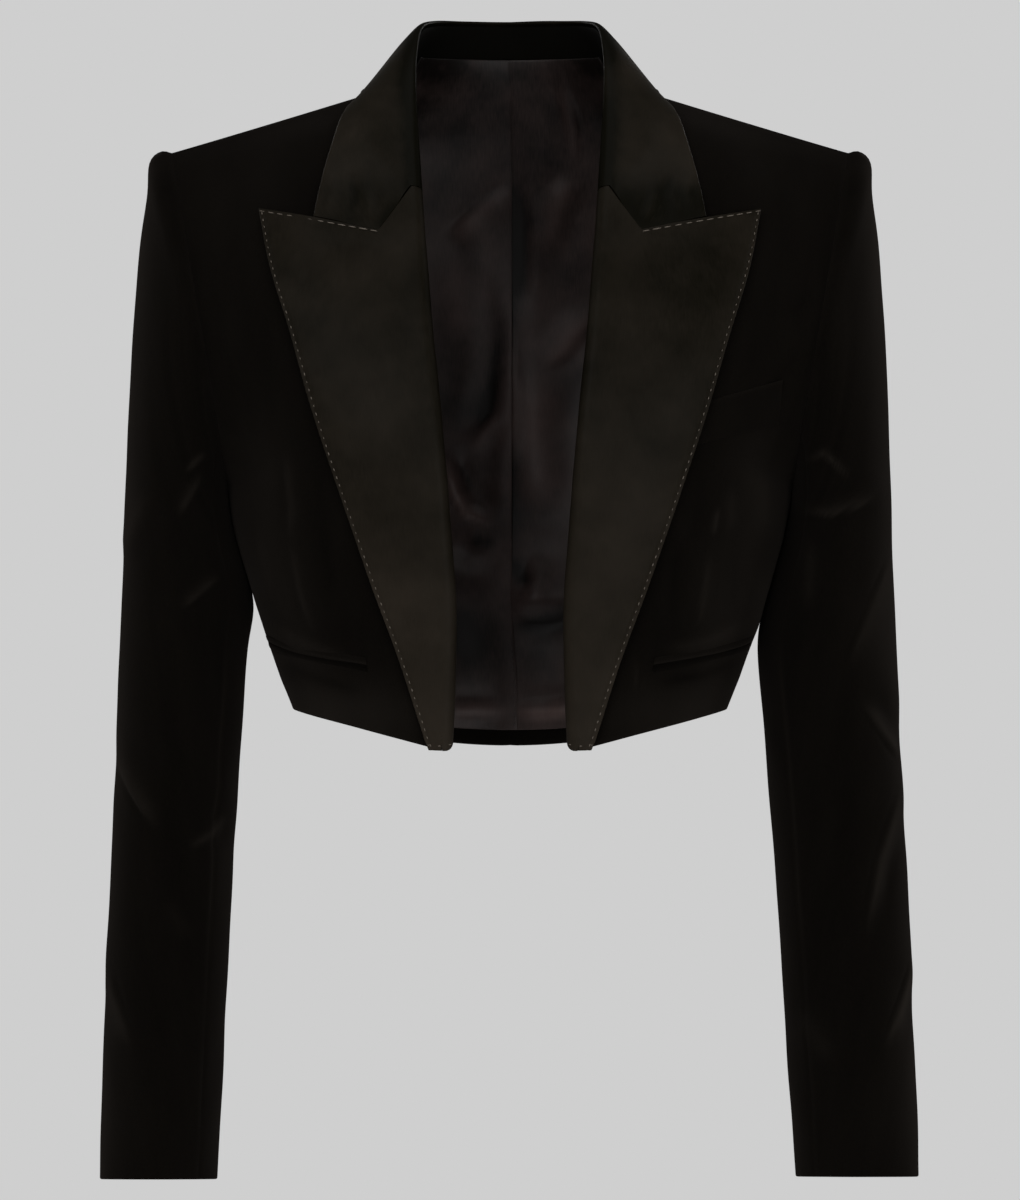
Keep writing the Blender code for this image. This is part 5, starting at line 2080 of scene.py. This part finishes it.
@dataclass
class HandStitching:
    """Rows of single stitches laid along lines of the cloth by one node tree."""

    thread: Material
    sides: int = 8
    rings: int = 7
    unevenness: float = 0.22
    tree: NodeTree = field(init=False)

    def __post_init__(self) -> None:
        """Build the tree: line to curve, even points, one stitch turned along the line at each."""
        tree = bpy.data.node_groups.new("hand_stitches", "GeometryNodeTree")
        face = tree.interface
        face.new_socket("Line", in_out="INPUT", socket_type="NodeSocketGeometry")
        for name in ("Pitch", "Length", "Thread Radius", "Unevenness"):
            face.new_socket(name, in_out="INPUT", socket_type="NodeSocketFloat")
        face.new_socket("Seed", in_out="INPUT", socket_type="NodeSocketInt")
        face.new_socket("Stitches", in_out="OUTPUT", socket_type="NodeSocketGeometry")
        given = add_node(tree, "NodeGroupInput").outputs
        curve = add_node(tree, "GeometryNodeMeshToCurve", {"Mesh": given["Line"]})
        even = add_node(tree, "GeometryNodeResampleCurve", {"Curve": curve.outputs["Curve"]}, mode="LENGTH")
        tree.links.new(given["Pitch"], even.inputs["Length"])
        tangent = add_node(tree, "GeometryNodeInputTangent")
        turned = add_node(tree, "FunctionNodeAlignRotationToVector", {
            "Vector": tangent.outputs["Tangent"],
        }, axis="Z")
        low = add_node(tree, "ShaderNodeMath", {0: 1.0, 1: given["Unevenness"]}, operation="SUBTRACT")
        high = add_node(tree, "ShaderNodeMath", {0: 1.0, 1: given["Unevenness"]}, operation="ADD")
        vary = add_node(tree, "FunctionNodeRandomValue", {
            2: low.outputs[0], 3: high.outputs[0], "Seed": given["Seed"],
        }, data_type="FLOAT")
        half = add_node(tree, "ShaderNodeMath", {0: given["Length"], 1: 0.5}, operation="MULTIPLY")
        thick = given["Thread Radius"]
        size = add_node(tree, "ShaderNodeCombineXYZ", {0: thick, 1: thick, 2: half.outputs[0]})
        bead = add_node(tree, "GeometryNodeMeshUVSphere", {
            "Segments": self.sides, "Rings": self.rings, "Radius": 1.0,
        })
        stitch = add_node(tree, "GeometryNodeTransform", {
            "Geometry": bead.outputs["Mesh"], "Scale": size.outputs[0],
        })
        placed = add_node(tree, "GeometryNodeInstanceOnPoints", {
            "Points": even.outputs["Curve"], "Instance": stitch.outputs["Geometry"],
            "Rotation": turned.outputs["Rotation"], "Scale": vary.outputs[1],
        })
        whole = add_node(tree, "GeometryNodeRealizeInstances", {"Geometry": placed.outputs["Instances"]})
        coloured = add_node(tree, "GeometryNodeSetMaterial", {
            "Geometry": whole.outputs["Geometry"], "Material": self.thread,
        })
        add_node(tree, "NodeGroupOutput", {"Stitches": coloured.outputs["Geometry"]})
        self.tree = tree

    def sew(self, name: str, lines: Sequence[Points], side: Side, stitch: Stitch) -> Piece:
        """Lay stitches along lines.

        Args:
            name: Name of the finished piece.
            lines: Lines of points on the left-hand cloth, in millimetres.
            side: Side that the stitches belong to.
            stitch: Kind of stitch.

        Returns:
            The finished piece, a plain mesh.
        """
        points: list[Points] = []
        edges: list[tuple[int, int]] = []
        for line in lines:
            start = len(points)
            points.extend(line * np.array([side.value, 1.0, 1.0]) * MM)
            edges.extend((start + k, start + k + 1) for k in range(len(line) - 1))
        mesh = bpy.data.meshes.new(name + "_line")
        mesh.from_pydata([tuple(point) for point in points], edges, [])
        carrier = put_in_scene(name + "_line", mesh)
        modifier = carrier.modifiers.new("stitches", "NODES")
        modifier.node_group = self.tree
        values = {
            "Pitch": stitch.pitch * MM, "Length": stitch.length * MM, "Thread Radius": stitch.radius * MM,
            "Unevenness": self.unevenness, "Seed": stitch.seed,
        }
        for socket in self.tree.interface.items_tree:
            if socket.in_out == "INPUT" and socket.name in values:
                modifier[socket.identifier] = values[socket.name]
        evaluated = carrier.evaluated_get(bpy.context.evaluated_depsgraph_get())
        sewn = bpy.data.meshes.new_from_object(evaluated)
        sewn.name = name
        piece = put_in_scene(name, sewn)
        carrier.modifiers.clear()
        bpy.data.objects.remove(carrier, do_unlink=True)
        bpy.data.meshes.remove(mesh)
        piece.data.shade_smooth()
        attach(piece, "root")
        LOG.info("%s: %d faces", piece.name, len(piece.data.polygons))
        return piece


class Softbox(NamedTuple):
    """One soft area light: name, centre and size in metres, power in watts."""

    name: str
    place: tuple[float, float, float]
    size: Place
    power: float


SOFTBOXES = (
    Softbox("key_softbox", (-1.8, -4.2, 1.2), (2.8, 2.8), 105.0),
    Softbox("fill_softbox", (2.0, -4.4, -0.6), (2.8, 2.4), 90.0),
    Softbox("left_strip", (-2.9, 0.2, 0.3), (0.8, 2.4), 20.0),
    Softbox("right_strip", (2.9, 0.2, 0.3), (0.8, 2.4), 26.0),
    Softbox("back_left_softbox", (-3.0, 3.0, 0.8), (1.8, 2.2), 75.0),
    Softbox("back_right_softbox", (3.0, 3.0, 0.8), (1.8, 2.2), 85.0),
    Softbox("top_softbox", (0.0, -0.8, 3.4), (2.4, 2.4), 45.0),
)


@dataclass
class Studio:
    """Pale floor, even backdrop, soft lights and the camera of the photograph."""

    camera_place: tuple[float, float, float] = (0.0, -5.0, -0.3018)
    field_height: float = 0.72
    sensor: float = 36.0  # millimetres, along the picture's longer side
    backdrop: str = "#cfcfcf"
    ambient: float = 0.14  # share of the backdrop's glow that lights the cloth
    light_aim: tuple[float, float, float] = (0.0, 0.0, -0.3)
    floor_z: float = -1.35
    floor_radius: float = 2.4
    floor_corners: int = 96

    def place_camera(self) -> None:
        """Make the camera, level and square to the front."""
        data = bpy.data.cameras.new("camera")
        data.sensor_width = self.sensor
        data.lens = self.sensor / 2 / (self.field_height / 2 / -self.camera_place[1])
        data.clip_end = 100.0
        camera = put_in_scene("camera", data)
        camera.location = self.camera_place
        camera.rotation_euler = (math.radians(90), 0.0, 0.0)
        bpy.context.scene.camera = camera

    def place_light(self, softbox: Softbox) -> None:
        """Make one soft area light that faces the blazer.

        Args:
            softbox: The light.
        """
        data = bpy.data.lights.new(softbox.name, "AREA")
        data.shape = "RECTANGLE"
        data.size, data.size_y = softbox.size
        data.energy = softbox.power
        light = put_in_scene(softbox.name, data)
        light.location = softbox.place
        aim = Vector(self.light_aim) - Vector(softbox.place)
        light.rotation_mode = "QUATERNION"
        light.rotation_quaternion = aim.to_track_quat("-Z", "Y")

    def light_up(self) -> None:
        """Make the backdrop's even glow and the soft lights."""
        world = bpy.data.worlds.new("studio")
        world.use_nodes = True
        bpy.context.scene.world = world
        tree = world.node_tree
        tree.nodes.clear()
        path = add_node(tree, "ShaderNodeLightPath")
        colour = linear(self.backdrop)
        seen = add_node(tree, "ShaderNodeBackground", {"Color": colour, "Strength": 1.0})
        glow = add_node(tree, "ShaderNodeBackground", {"Color": colour, "Strength": self.ambient})
        mixed = add_node(tree, "ShaderNodeMixShader", {
            0: path.outputs["Is Camera Ray"], 1: glow.outputs[0], 2: seen.outputs[0],
        })
        add_node(tree, "ShaderNodeOutputWorld", {"Surface": mixed.outputs[0]})
        for softbox in SOFTBOXES:
            self.place_light(softbox)

    def lay_floor(self) -> None:
        """Make the pale floor, far below the hanging blazer."""
        corners = range(self.floor_corners)
        angles = [2 * math.pi * k / self.floor_corners for k in corners]
        radius = self.floor_radius
        ring = [(radius * math.cos(a), radius * math.sin(a), self.floor_z) for a in angles]
        mesh = bpy.data.meshes.new("floor")
        mesh.from_pydata(ring, [], [tuple(corners)])
        mesh.materials.append(StudioPaper().build())
        floor = put_in_scene("floor", mesh)

    def build(self) -> None:
        """Set up the whole studio."""
        bpy.context.scene.view_settings.view_transform = "Standard"
        self.place_camera()
        self.light_up()
        self.lay_floor()


def main() -> None:
    """Build the studio and the dressed blazer, piece by piece."""
    logging.basicConfig(level=logging.INFO, format="%(name)s %(message)s")
    Studio().build()
    velvet = Velvet().build()
    lapel_satin = Satin(
        "duchesse_satin_woven", deep="#080703", lit="#28231d", roughness=0.48, specular=0.028,
    ).build()
    lining_satin = Satin(
        "lining_satin_woven", deep="#0c0908", lit="#4d3f3c", roughness=0.42, specular=0.12, cloud_mm=60.0,
        mean=0.25,
    ).build()
    # The stand's cloth is painted near black, darker than the velvet: painted shade inside the neck over its
    # own dark cloth.
    stand_cloth = Satin(
        "collar_cloth_matt_painted_shade", deep="#030302", lit="#080705", roughness=0.85, specular=0.02, bump=0.2,
    ).build()
    stitching = HandStitching(SewingThread().build())
    dark_stitching = HandStitching(SewingThread("spun_sewing_silk_dark", "#0a0807", "#1a1412").build())
    shape = BodyShape()
    collar = Collar(shape)
    for side in (Side.RIGHT, Side.LEFT):
        word = side.word
        sleeve = Sleeve(shape, side)
        panels = BodyPanels(shape, side)
        panels.shape_cloth(sleeve.grid(shape.armhole(shape.front, shape.back)))
        panels.build(velvet)
        sleeve.build(panels.rings, velvet)
        face = FrontFace(panels.front_smooth, shape.front)
        lapel = Lapel(face, side)
        lapel.shape_cloth()
        edges = [lapel.edge_line(), lapel.hem_line()]
        sewing = [
            stitching.sew(f"lapel_edge_stitches_{word}", edges, side, EDGE_STITCH),
            stitching.sew(f"lapel_top_stitches_{word}", [lapel.top_line()], side, TOP_STITCH),
        ]
        lapel.build(lapel_satin, sewing)
        Pockets(face, side).build(shape, velvet)
        _, stand = collar.stand_grids(panels.front_smooth, panels.back_smooth)
        lining = BackLining(shape, side, tree_of([stand]))
        lining.shape_cloth()
        sewing = []
        if side is Side.RIGHT:
            line = lining.seam_line()
            sewing.append(dark_stitching.sew("lining_seam_stitches", [line], side, SEAM_STITCH))
        lining.build(lining_satin, sewing)
    collar.build(panels, lapel, lapel_satin, stand_cloth)


if __name__ == "__main__":
    main()
